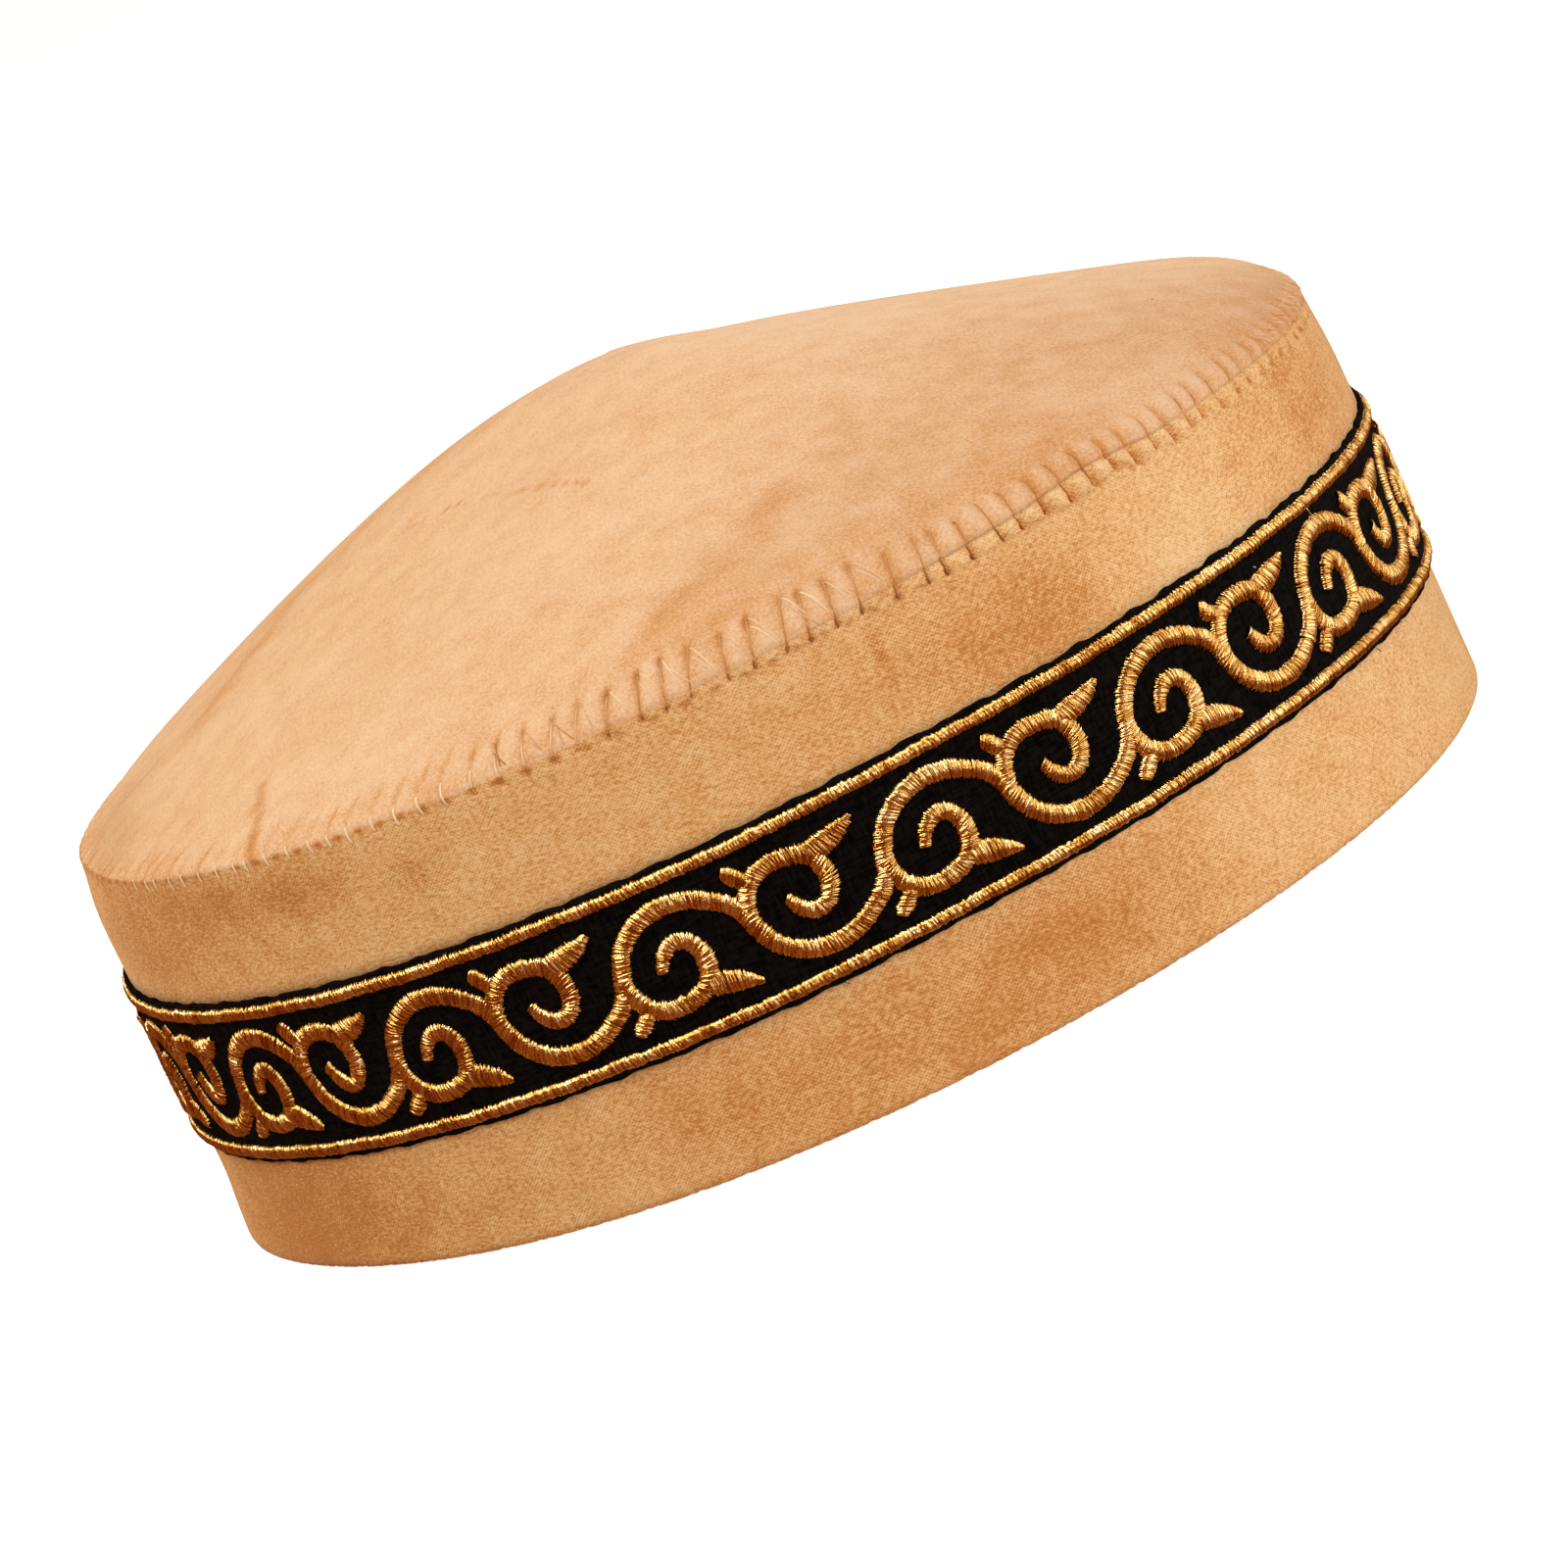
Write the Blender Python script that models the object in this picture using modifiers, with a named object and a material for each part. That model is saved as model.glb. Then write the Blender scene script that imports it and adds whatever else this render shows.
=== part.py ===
"""Round velvet cap with a straight side band, a low pointed crown and a scrolled ribbon.

The cap stands on its hem, +Z up, with the middle of its underside at the origin.
Angles run anticlockwise from +X, and the front of the cap faces -Y.
Every length is in metres.
"""

import math

import bmesh
import bpy
import numpy as np

# Driving sizes of the cap
BAND_RADIUS = 0.0930         # mean outer radius of the side band
BAND_HEIGHT = 0.0585         # floor to the seam under the crown's turned-down edge
BAND_WALL = 0.0024           # two layers of velvet over a stiff backing
CROWN_HEIGHT = 0.0292        # top of its upright edge to the point of the crown
CROWN_WALL = 0.0020
PIECE_GAP = 0.0003           # clearance between two pieces that touch
FACETS = 60                  # sides of every ring that goes round the head

# The band is a little oval: (wave, cosine share, sine share)
OVAL = (
    (2, 0.0117, -0.0089),
)
# Its front is pushed further out of round, which fades away towards the back
FRONT_SHAPE = (
    (3, 0.0028, 0.0173),
    (4, -0.0043, -0.0072),
)
# The seam rises and falls a little round the cap: (wave, cosine rise, sine rise)
SEAM_WAVE = (
    (1, -0.0004, -0.0005),
    (2, -0.0007, -0.0009),
)
# So does the ribbon
RIBBON_WAVE = (
    (1, 0.0006, 0.0007),
    (2, -0.0008, -0.0006),
)

# Crown: a cone that swells towards the back left and rounds over at its edge
CROWN_POINT_SHIFT = 0.0068   # the point lies this far to the right of the middle
CONE_POWER = 1.21
SWELL_POWER = 0.945
SWELL_ANGLE = math.radians(109.0)
SWELL_SPREAD = math.radians(57.6)
SHOULDER_SHARE = 0.078       # share of the height that falls at the rounded edge
SHOULDER_LEAN = 0.070        # the edge is fuller on the right than on the left
SHOULDER_POWER = 26.0
CROWN_SKIRT = 0.0012         # upright edge of the crown above the seam
CROWN_LEVEL_SHARE = 0.30     # nearer the point than this, the seam's rise and fall dies away
CROWN_RINGS = (0.0, 0.12, 0.30, 0.50, 0.70, 0.85, 0.94, 1.0)

# Hem and ribbon
HEM_ROUND = 0.0008
HEM_FLAT = 0.0008            # width of the flat edge that the cap stands on
RIBBON_LOW = 0.0187
RIBBON_HIGH = 0.0425
RIBBON_THICK = 0.0010
RIBBON_SET_IN = 0.0006       # the ribbon is drawn this far into the velvet

# Embroidery
STITCH_THICK = 0.0005
BORDER_INSET = 0.0015        # ribbon edge to the middle of a border line
BORDER_WIDTH = 0.0018
REPEATS = 16                 # scrolls round the ribbon
FRONT_SCROLL_SHIFT = 0.0002  # the front scroll's middle, to the right of the front
END_MARGIN = 0.0002          # each end of a scroll stops this far short of its share

# Strokes of half a scroll, about the middle line of the ribbon.
# Each row is a place on the middle of the stroke: (along, up, width)
VINE = (
    (-0.00920, 0.00480, 0.0023),
    (-0.00760, 0.00360, 0.0023),
    (-0.00630, 0.00180, 0.0024),
    (-0.00550, -0.00070, 0.0024),
    (-0.00420, -0.00330, 0.0024),
    (-0.00200, -0.00530, 0.0024),
    (0.00080, -0.00650, 0.0024),
    (0.00370, -0.00675, 0.0024),
    (0.00680, -0.00610, 0.0023),
    (0.00923, -0.00480, 0.0023),
)
VOLUTE = (
    (-0.00570, 0.00030, 0.0022),
    (-0.00540, 0.00240, 0.0022),
    (-0.00410, 0.00470, 0.0023),
    (-0.00170, 0.00595, 0.0023),
    (0.00140, 0.00595, 0.0023),
    (0.00400, 0.00500, 0.0024),
    (0.00520, 0.00290, 0.0024),
    (0.00530, 0.00050, 0.0024),
    (0.00410, -0.00150, 0.0022),
    (0.00220, -0.00185, 0.0021),
    (0.00060, -0.00075, 0.0019),
    (-0.00040, 0.00110, 0.0013),
)
LEAF = (
    (0.00440, 0.00500, 0.0028),
    (0.00660, 0.00540, 0.0030),
    (0.00900, 0.00615, 0.0022),
    (0.01110, 0.00715, 0.0005),
)
BUD = (
    (-0.00670, 0.00760, 0.0012),
    (-0.00590, 0.00680, 0.0022),
    (-0.00440, 0.00530, 0.0018),
)

# Finishes: colour, roughness, metallic
VELVET = ((0.610, 0.352, 0.155, 1.0), 0.90, 0.0)
BLACK_RIBBON = ((0.012, 0.011, 0.010, 1.0), 0.80, 0.0)
GOLD_THREAD = ((0.720, 0.460, 0.130, 1.0), 0.35, 0.9)


def waves(table, angle):
    """Sum of the cosine and sine waves of a table at one angle."""
    return sum(c * math.cos(n * angle) + s * math.sin(n * angle) for n, c, s in table)


def band_radius(angle):
    """Outer radius of the side band at one angle."""
    front = 0.5 * (1.0 - math.sin(angle))
    return BAND_RADIUS * (1.0 + waves(OVAL, angle) + front * waves(FRONT_SHAPE, angle))


def seam_height(angle):
    """Height of the seam between the side band and the crown."""
    return BAND_HEIGHT + waves(SEAM_WAVE, angle)


def crown_rise(share, angle):
    """Height of the crown above the seam, share 0 at the point and 1 at the edge."""
    turn = math.remainder(angle - SWELL_ANGLE, 2.0 * math.pi)
    power = CONE_POWER + SWELL_POWER * math.exp(-(turn / SWELL_SPREAD) ** 2)
    shoulder = SHOULDER_SHARE + SHOULDER_LEAN * math.cos(angle)
    cone = (1.0 - shoulder) * (1.0 - share ** power)
    return CROWN_HEIGHT * (cone + shoulder * (1.0 - share ** SHOULDER_POWER))


def finish_material(name, finish):
    """Plain material with the colour, roughness and metallic value of a finish."""
    colour, roughness, metallic = finish
    material = bpy.data.materials.new(name)
    material.use_nodes = True
    shader = material.node_tree.nodes["Principled BSDF"]
    shader.inputs["Base Color"].default_value = colour
    shader.inputs["Roughness"].default_value = roughness
    shader.inputs["Metallic"].default_value = metallic
    return material


def add_object(name, mesh, collection, material=None):
    """Wrap a mesh in an object, smooth where its faces meet gently."""
    if material:
        mesh.materials.append(material)
    mesh.shade_smooth()
    mesh.set_sharp_from_angle(angle=math.radians(40.0))
    obj = bpy.data.objects.new(name, mesh)
    collection.objects.link(obj)
    return obj


def spin_profile(name, points, closed):
    """Turn a profile in the XZ plane once round Z, in as many steps as the rings have."""
    bm = bmesh.new()
    verts = [bm.verts.new((x, 0.0, z)) for x, z in points]
    pairs = list(zip(verts, verts[1:]))
    if closed:
        pairs.append((verts[-1], verts[0]))
    edges = [bm.edges.new(pair) for pair in pairs]
    bmesh.ops.spin(
        bm,
        geom=verts + edges,
        cent=(0.0, 0.0, 0.0),
        axis=(0.0, 0.0, 1.0),
        angle=2.0 * math.pi,
        steps=FACETS,
        use_merge=True,
    )
    bmesh.ops.remove_doubles(bm, verts=bm.verts, dist=1e-6)
    bmesh.ops.recalc_face_normals(bm, faces=bm.faces)
    mesh = bpy.data.meshes.new(name)
    bm.to_mesh(mesh)
    bm.free()
    return mesh


def fit_to_head(mesh, height_of):
    """Move a ring turned about the mean radius onto the real outline of the head."""
    for vertex in mesh.vertices:
        x, y, z = vertex.co
        angle = math.atan2(y, x)
        radius = math.hypot(x, y) - BAND_RADIUS + band_radius(angle)
        vertex.co = (radius * math.cos(angle), radius * math.sin(angle), height_of(z, angle))
    return mesh


def with_ribbon_wave(z, angle):
    """Height of a point that follows the ribbon."""
    return z + waves(RIBBON_WAVE, angle)


def band_height(z, angle):
    """Hem stays level, the recess follows the ribbon and the top follows the seam."""
    if z < RIBBON_LOW - 2.0 * PIECE_GAP:
        return z
    if z < RIBBON_HIGH + 2.0 * PIECE_GAP:
        return with_ribbon_wave(z, angle)
    return z + seam_height(angle) - BAND_HEIGHT


def make_side_band(collection, material):
    """Straight wall with a rounded hem and a shallow recess under the ribbon."""
    outer = BAND_RADIUS
    inner = BAND_RADIUS - BAND_WALL
    recess = outer - RIBBON_SET_IN
    flat_mid = 0.5 * (outer + inner)
    top = BAND_HEIGHT - 0.5 * PIECE_GAP
    low = RIBBON_LOW - PIECE_GAP
    high = RIBBON_HIGH + PIECE_GAP
    profile = (
        (flat_mid + 0.5 * HEM_FLAT, 0.0),
        (outer - 0.3 * HEM_ROUND, 0.3 * HEM_ROUND),
        (outer, HEM_ROUND),
        (outer, low),
        (recess, low),
        (recess, high),
        (outer, high),
        (outer, top),
        (inner, top),
        (inner, HEM_ROUND),
        (inner + 0.3 * HEM_ROUND, 0.3 * HEM_ROUND),
        (flat_mid - 0.5 * HEM_FLAT, 0.0),
    )
    mesh = fit_to_head(spin_profile("side_band", profile, closed=True), band_height)
    return add_object("side_band", mesh, collection, material)


def make_crown(collection, material):
    """Domed cone whose turned-down edge stands on the seam, thickened inwards."""
    profile = [(share, 1.0) for share in CROWN_RINGS] + [(1.0, 0.0)]
    mesh = spin_profile("crown", profile, closed=False)
    for vertex in mesh.vertices:
        x, y, upper = vertex.co
        share = min(math.hypot(x, y), 1.0)
        angle = math.atan2(y, x)
        level = min(share / CROWN_LEVEL_SHARE, 1.0)
        seam = BAND_HEIGHT + level * waves(SEAM_WAVE, angle) + 0.5 * PIECE_GAP
        rise = CROWN_SKIRT + crown_rise(share, angle) if upper > 0.5 else 0.0
        radius = share * band_radius(angle)
        shift = CROWN_POINT_SHIFT * (1.0 - share)
        vertex.co = (
            radius * math.cos(angle) + shift,
            radius * math.sin(angle),
            seam + rise,
        )
    crown = add_object("crown", mesh, collection, material)
    shell = crown.modifiers.new("velvet", "SOLIDIFY")
    shell.thickness = CROWN_WALL
    shell.offset = -1.0
    return crown


def ribbon_surface():
    """Radius at which the front of the ribbon lies, about the mean radius."""
    return BAND_RADIUS - RIBBON_SET_IN + PIECE_GAP + RIBBON_THICK


def make_ribbon(collection, material):
    """Flat woven ribbon, once round the band in its recess."""
    front = ribbon_surface()
    back = front - RIBBON_THICK
    profile = (
        (front, RIBBON_LOW),
        (front, RIBBON_HIGH),
        (back, RIBBON_HIGH),
        (back, RIBBON_LOW),
    )
    mesh = fit_to_head(spin_profile("ribbon", profile, closed=True), with_ribbon_wave)
    return add_object("ribbon", mesh, collection, material)


def make_border(name, middle, collection, material):
    """Raised line of gold stitches along one edge of the ribbon."""
    back = ribbon_surface() + PIECE_GAP
    front = back + STITCH_THICK
    half = 0.5 * BORDER_WIDTH
    profile = (
        (back, middle - half),
        (front, middle - 0.6 * half),
        (front, middle + 0.6 * half),
        (back, middle + half),
    )
    mesh = fit_to_head(spin_profile(name, profile, closed=True), with_ribbon_wave)
    return add_object(name, mesh, collection, material)


def stroke_outline(rows):
    """Closed outline of a stroke: its two sides, half its width off the middle."""
    path = np.array(rows)
    along = np.gradient(path[:, :2], axis=0)
    along /= np.linalg.norm(along, axis=1)[:, None]
    side = np.column_stack((-along[:, 1], along[:, 0])) * path[:, 2:] / 2
    return np.vstack((path[:, :2] + side, (path[:, :2] - side)[::-1]))


def flat_stroke(name, outline, collection):
    """Flat stroke as a filled 2D curve, made a welded mesh object."""
    curve = bpy.data.curves.new(name, "CURVE")
    curve.dimensions = "2D"
    curve.fill_mode = "BOTH"
    curve.extrude = 0.5 * STITCH_THICK
    spline = curve.splines.new("POLY")
    spline.points.add(len(outline) - 1)
    for point, (x, y) in zip(spline.points, outline):
        point.co = (x, y, 0.0, 1.0)
    spline.use_cyclic_u = True
    source = bpy.data.objects.new(name, curve)
    collection.objects.link(source)
    bpy.context.view_layer.update()
    graph = bpy.context.evaluated_depsgraph_get()
    mesh = bpy.data.meshes.new_from_object(source.evaluated_get(graph))
    bpy.data.objects.remove(source)
    bm = bmesh.new()
    bm.from_mesh(mesh)
    bmesh.ops.remove_doubles(bm, verts=bm.verts, dist=1e-6)
    bmesh.ops.recalc_face_normals(bm, faces=bm.faces)
    bm.to_mesh(mesh)
    bm.free()
    stroke = bpy.data.objects.new(name, mesh)
    collection.objects.link(stroke)
    return stroke


def scroll_strokes(pitch):
    """Outlines of one whole scroll: an upper half, then its mirror image half a pitch on."""
    half = 0.5 * pitch
    reach = 0.5 * half - END_MARGIN
    upper = [stroke_outline(rows) for rows in (VOLUTE, LEAF, BUD)]
    lower = [outline * (1.0, -1.0) + (half, 0.0) for outline in upper]
    first = np.array(VINE)
    first[0, 0] = -reach
    second = np.array(VINE) * (1.0, -1.0, 1.0) + (half, 0.0, 0.0)
    second[-1, 0] = half + reach
    vine = stroke_outline(np.vstack((first, second[1:])))
    return [vine] + upper + lower


def flat_scroll(pitch, tools):
    """One scroll in a plane: all its strokes joined into one solid."""
    strokes = [
        flat_stroke(f"stroke_{i}", outline, tools)
        for i, outline in enumerate(scroll_strokes(pitch))
    ]
    body, others = strokes[0], strokes[1:]
    for other in others:
        join = body.modifiers.new(other.name, "BOOLEAN")
        join.operation = "UNION"
        join.solver = "EXACT"
        join.object = other
    bpy.context.view_layer.update()
    graph = bpy.context.evaluated_depsgraph_get()
    mesh = bpy.data.meshes.new_from_object(body.evaluated_get(graph))
    for stroke in strokes:
        bpy.data.objects.remove(stroke)
    bm = bmesh.new()
    bm.from_mesh(mesh)
    bmesh.ops.dissolve_limit(
        bm,
        angle_limit=math.radians(1.0),
        verts=bm.verts,
        edges=bm.edges,
    )
    bmesh.ops.triangulate(bm, faces=bm.faces)
    bm.to_mesh(mesh)
    bm.free()
    return mesh


def arc_table(radius_offset):
    """Angles round the cap from the front, and the length along the ribbon to each."""
    angles = np.linspace(-0.5 * math.pi, 1.5 * math.pi, 2881)
    radius = np.array([band_radius(angle) for angle in angles]) + radius_offset
    x = radius * np.cos(angles)
    y = radius * np.sin(angles)
    steps = np.hypot(np.diff(x), np.diff(y))
    return angles, np.concatenate(([0.0], np.cumsum(steps)))


def bend_scroll(name, flat, start, table):
    """Copy the flat scroll and wrap it on the ribbon from a length along it."""
    angles, lengths = table
    back = ribbon_surface() + PIECE_GAP + 0.5 * STITCH_THICK - BAND_RADIUS
    middle = 0.5 * (RIBBON_LOW + RIBBON_HIGH)
    mesh = flat.copy()
    mesh.name = name
    for vertex in mesh.vertices:
        along, up, out = vertex.co
        angle = float(np.interp((start + along) % lengths[-1], lengths, angles))
        radius = band_radius(angle) + back + out
        height = with_ribbon_wave(middle + up, angle)
        vertex.co = (radius * math.cos(angle), radius * math.sin(angle), height)
    return mesh


def make_scrolls(collection, tools, material):
    """Row of scrolls round the ribbon, each a piece of its own."""
    offset = ribbon_surface() + PIECE_GAP - BAND_RADIUS
    table = arc_table(offset)
    pitch = table[1][-1] / REPEATS
    flat = flat_scroll(pitch, tools)
    scrolls = []
    for index in range(REPEATS):
        name = f"scroll_{index + 1:02d}"
        start = FRONT_SCROLL_SHIFT - 0.0056 + index * pitch
        mesh = bend_scroll(name, flat, start, table)
        scrolls.append(add_object(name, mesh, collection, material))
    bpy.data.meshes.remove(flat)
    return scrolls


def centre_on_origin(objects):
    """Slide the whole cap sideways until the middle of its outline is at the origin."""
    bpy.context.view_layer.update()
    graph = bpy.context.evaluated_depsgraph_get()
    corners = []
    for obj in objects:
        for vertex in obj.evaluated_get(graph).data.vertices:
            corners.append(vertex.co[:2])
    corners = np.array(corners)
    middle = 0.5 * (corners.min(axis=0) + corners.max(axis=0))
    for obj in objects:
        obj.location = (-middle[0], -middle[1], 0.0)


def main():
    for obj in list(bpy.data.objects):
        bpy.data.objects.remove(obj)
    scene = bpy.context.scene
    cap = bpy.data.collections.new("velvet_cap")
    tools = bpy.data.collections.new("velvet_cap_tools")
    scene.collection.children.link(cap)
    scene.collection.children.link(tools)

    crown_velvet = finish_material("crown_velvet", VELVET)
    band_velvet = finish_material("band_velvet", VELVET)
    ribbon_weave = finish_material("ribbon_weave", BLACK_RIBBON)
    border_gold = finish_material("border_gold", GOLD_THREAD)
    scroll_gold = finish_material("scroll_gold", GOLD_THREAD)

    pieces = [
        make_side_band(cap, band_velvet),
        make_crown(cap, crown_velvet),
        make_ribbon(cap, ribbon_weave),
        make_border("border_lower", RIBBON_LOW + BORDER_INSET, cap, border_gold),
        make_border("border_upper", RIBBON_HIGH - BORDER_INSET, cap, border_gold),
    ]
    pieces += make_scrolls(cap, tools, scroll_gold)
    centre_on_origin(pieces)


main()
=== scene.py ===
"""Looks of a round velvet cap with a scrolled ribbon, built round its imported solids.

The cap stands on its hem, +Z up, with its front towards -Y. Every length is in metres and
angles run anticlockwise from +X. A place on the velvet is given by its angle and its way,
the distance from the seam crease: up over the crown when positive, down the side band when
negative. A place on the ribbon is given by its length along it from the front, its height
above the ribbon's middle line and its lift off the ribbon's face.
"""

import logging
import math
from dataclasses import dataclass, field
from enum import Enum

import bmesh
import bpy
import numpy as np
from mathutils import Matrix, Vector


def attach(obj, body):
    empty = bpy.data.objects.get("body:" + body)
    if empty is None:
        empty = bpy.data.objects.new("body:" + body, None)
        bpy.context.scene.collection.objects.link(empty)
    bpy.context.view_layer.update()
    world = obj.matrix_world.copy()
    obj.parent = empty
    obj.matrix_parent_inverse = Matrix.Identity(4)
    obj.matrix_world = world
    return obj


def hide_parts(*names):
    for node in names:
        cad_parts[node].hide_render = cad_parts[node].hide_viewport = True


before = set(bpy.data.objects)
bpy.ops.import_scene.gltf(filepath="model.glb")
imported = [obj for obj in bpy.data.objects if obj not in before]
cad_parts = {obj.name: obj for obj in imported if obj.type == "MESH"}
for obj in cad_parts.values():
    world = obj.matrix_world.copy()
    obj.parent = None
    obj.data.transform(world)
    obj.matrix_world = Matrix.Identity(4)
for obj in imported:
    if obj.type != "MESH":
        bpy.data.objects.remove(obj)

LOG = logging.getLogger("velvet_cap")
MM = 0.001
MERGE = 1e-7                             # points nearer each other than this are one
FULL_TURN = 2.0 * math.pi
FRONT = -0.5 * math.pi

Colour = tuple[float, float, float]
Wave = tuple[int, float, float]
Place = tuple[float, float]
Row = tuple[float, float, float]
Socket = bpy.types.NodeSocket


def waves(table: tuple[Wave, ...], angle: np.ndarray) -> np.ndarray:
    """Sum of the cosine and sine waves of a table at each angle."""
    return sum(c * np.cos(n * angle) + s * np.sin(n * angle) for n, c, s in table)


def sines(table: tuple[Row, ...], at: np.ndarray) -> np.ndarray:
    """Sum of sine waves, each with its size, its wave number and its start."""
    return sum(size * np.sin(wave * at + start) for size, wave, start in table)


def step_up(value: np.ndarray, low: float, high: float) -> np.ndarray:
    """Smooth step from 0 at low to 1 at high."""
    share = np.clip((value - low) / (high - low), 0.0, 1.0)
    return share * share * (3.0 - 2.0 * share)


def bell(*offsets: tuple[np.ndarray, float]) -> np.ndarray:
    """Smooth hump: 1 where every value is 0, fading over the reach given with it."""
    return np.exp(-sum((value / reach) ** 2 for value, reach in offsets))


def round_table(table: tuple[Row, ...], column: int, angle: np.ndarray) -> np.ndarray:
    """Value of one column of a table at each angle, joined up all the way round.

    Args:
        table: rows that start with an angle in degrees, in rising order.
        column: which number of a row is read.
        angle: angles in radians.

    Returns:
        One value for each angle.
    """
    degrees = np.degrees(angle) % 360.0
    return np.interp(degrees, [r[0] for r in table], [r[column] for r in table], period=360.0)


def show(obj: bpy.types.Object) -> None:
    """Put an object into the scene."""
    bpy.context.scene.collection.objects.link(obj)


# --------------------------------------------------------------------------------------
# Form of the cap
# --------------------------------------------------------------------------------------


@dataclass(frozen=True)
class CapForm:
    """Outline and heights of the cap, which every sewn piece follows."""

    centre: Place = (-0.00005, 0.0006)
    band_radius: float = 0.0930
    seam_height: float = 0.0593
    ribbon_low: float = 0.0187
    ribbon_high: float = 0.0425
    ribbon_face: float = 0.0007          # front of the ribbon, off the band's outline
    oval: tuple[Wave, ...] = ((2, 0.0117, -0.0089),)
    front_shape: tuple[Wave, ...] = ((3, 0.0028, 0.0173), (4, -0.0043, -0.0072))
    seam_wave: tuple[Wave, ...] = ((1, -0.0004, -0.0005), (2, -0.0007, -0.0009))
    ribbon_wave: tuple[Wave, ...] = ((1, 0.0006, 0.0007), (2, -0.0008, -0.0006))
    # degrees round the cap, how far the ribbon was sewn off that wave
    ribbon_stray: tuple[Place, ...] = (
        (10.0, 0.0), (190.0, -0.0003), (215.0, -0.0001), (250.0, -0.00005), (265.0, -0.0003),
        (280.0, -0.0002), (295.0, -0.00055), (308.0, -0.00045), (334.0, -0.00033),
    )
    crown_height: float = 0.0293
    point_shift: float = 0.0068
    cone_power: float = 1.21
    swell_power: float = 0.945
    swell_angle: float = math.radians(109.0)
    swell_spread: float = math.radians(57.6)
    shoulder_share: float = 0.078
    shoulder_lean: float = 0.070
    shoulder_power: float = 26.0
    level_share: float = 0.30            # nearer the point, the seam's rise dies away
    # degrees round the cap, how far the seam draws the shoulder in
    drawn_in: tuple[Place, ...] = (
        (2.0, 0.0007), (30.0, 0.0005), (60.0, 0.0), (128.0, 0.0), (152.0, 0.001),
        (170.0, 0.0014), (188.0, 0.0012), (206.0, 0.0), (328.0, 0.0), (346.0, 0.0006),
    )
    shoulder_reach: float = 0.0058
    # plan line behind which the crown has sunk, which ends at a small step near the point
    sunk_line: tuple[Place, ...] = (
        (-0.095, -0.004), (-0.069, -0.002), (-0.05, 0.013), (-0.032, 0.017), (-0.01, 0.014),
        (0.01, 0.014),
    )
    sunk_depth: float = 0.00065
    sunk_rim: float = 0.006              # nearer the seam than this it dies away
    sunk_slope: float = 0.007
    sunk_end: Place = (0.0018, 0.0040)
    sunk_back: Place = (0.030, 0.065)    # towards the back it fades out
    dent: Row = (0.016, 0.025, 0.0095)   # plan place and reach of a shallow dent
    dent_depth: float = 0.0004

    def radius(self, angle: np.ndarray) -> np.ndarray:
        """Outer radius of the side band at each angle."""
        front = 0.5 * (1.0 - np.sin(angle))
        bend = waves(self.oval, angle) + front * waves(self.front_shape, angle)
        return self.band_radius * (1.0 + bend)

    def seam(self, angle: np.ndarray) -> np.ndarray:
        """Height of the line on which crown and band meet."""
        return self.seam_height + waves(self.seam_wave, angle)

    def ribbon_rise(self, angle: np.ndarray) -> np.ndarray:
        """How far the ribbon runs above its mean height at each angle."""
        return waves(self.ribbon_wave, angle) + round_table(self.ribbon_stray, 1, angle)

    def crown_rise(self, share: np.ndarray, angle: np.ndarray) -> np.ndarray:
        """Height of the crown above its edge, share 0 at the point and 1 at the edge."""
        turn = (angle - self.swell_angle + math.pi) % FULL_TURN - math.pi
        power = self.cone_power + self.swell_power * bell((turn, self.swell_spread))
        shoulder = self.shoulder_share + self.shoulder_lean * np.cos(angle)
        cone = (1.0 - shoulder) * (1.0 - share**power)
        return self.crown_height * (cone + shoulder * (1.0 - share**self.shoulder_power))

    def draw(self, angle: np.ndarray, way: np.ndarray) -> np.ndarray:
        """How far the seam draws the velvet in, on both sides of the crease."""
        return bell((way, self.shoulder_reach)) * round_table(self.drawn_in, 1, angle)

    def sink(self, way: np.ndarray, x: np.ndarray, y: np.ndarray) -> np.ndarray:
        """How far the crown has sunk at places in plan, fading out towards its edge."""
        line = np.interp(x, [p[0] for p in self.sunk_line], [p[1] for p in self.sunk_line])
        sunk = self.sunk_depth * step_up(y - line, 0.0, self.sunk_slope)
        sunk = sunk * (1.0 - step_up(x, *self.sunk_end)) * (1.0 - step_up(y, *self.sunk_back))
        at_x, at_y, reach = self.dent
        dent = self.dent_depth * bell((x - at_x, reach), (y - at_y, reach))
        return (sunk + dent) * step_up(way, 0.0, self.sunk_rim)

    def wall(self, angle: np.ndarray, out: np.ndarray, height: np.ndarray) -> np.ndarray:
        """Points that stand off the band's outline.

        Args:
            angle: angles round the cap.
            out: distances outside the band's outline.
            height: heights above the floor.

        Returns:
            One row of x, y and z for each angle.
        """
        reach = self.radius(angle) + out
        x = self.centre[0] + reach * np.cos(angle)
        y = self.centre[1] + reach * np.sin(angle)
        return np.stack(np.broadcast_arrays(x, y, height), axis=-1)


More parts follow.
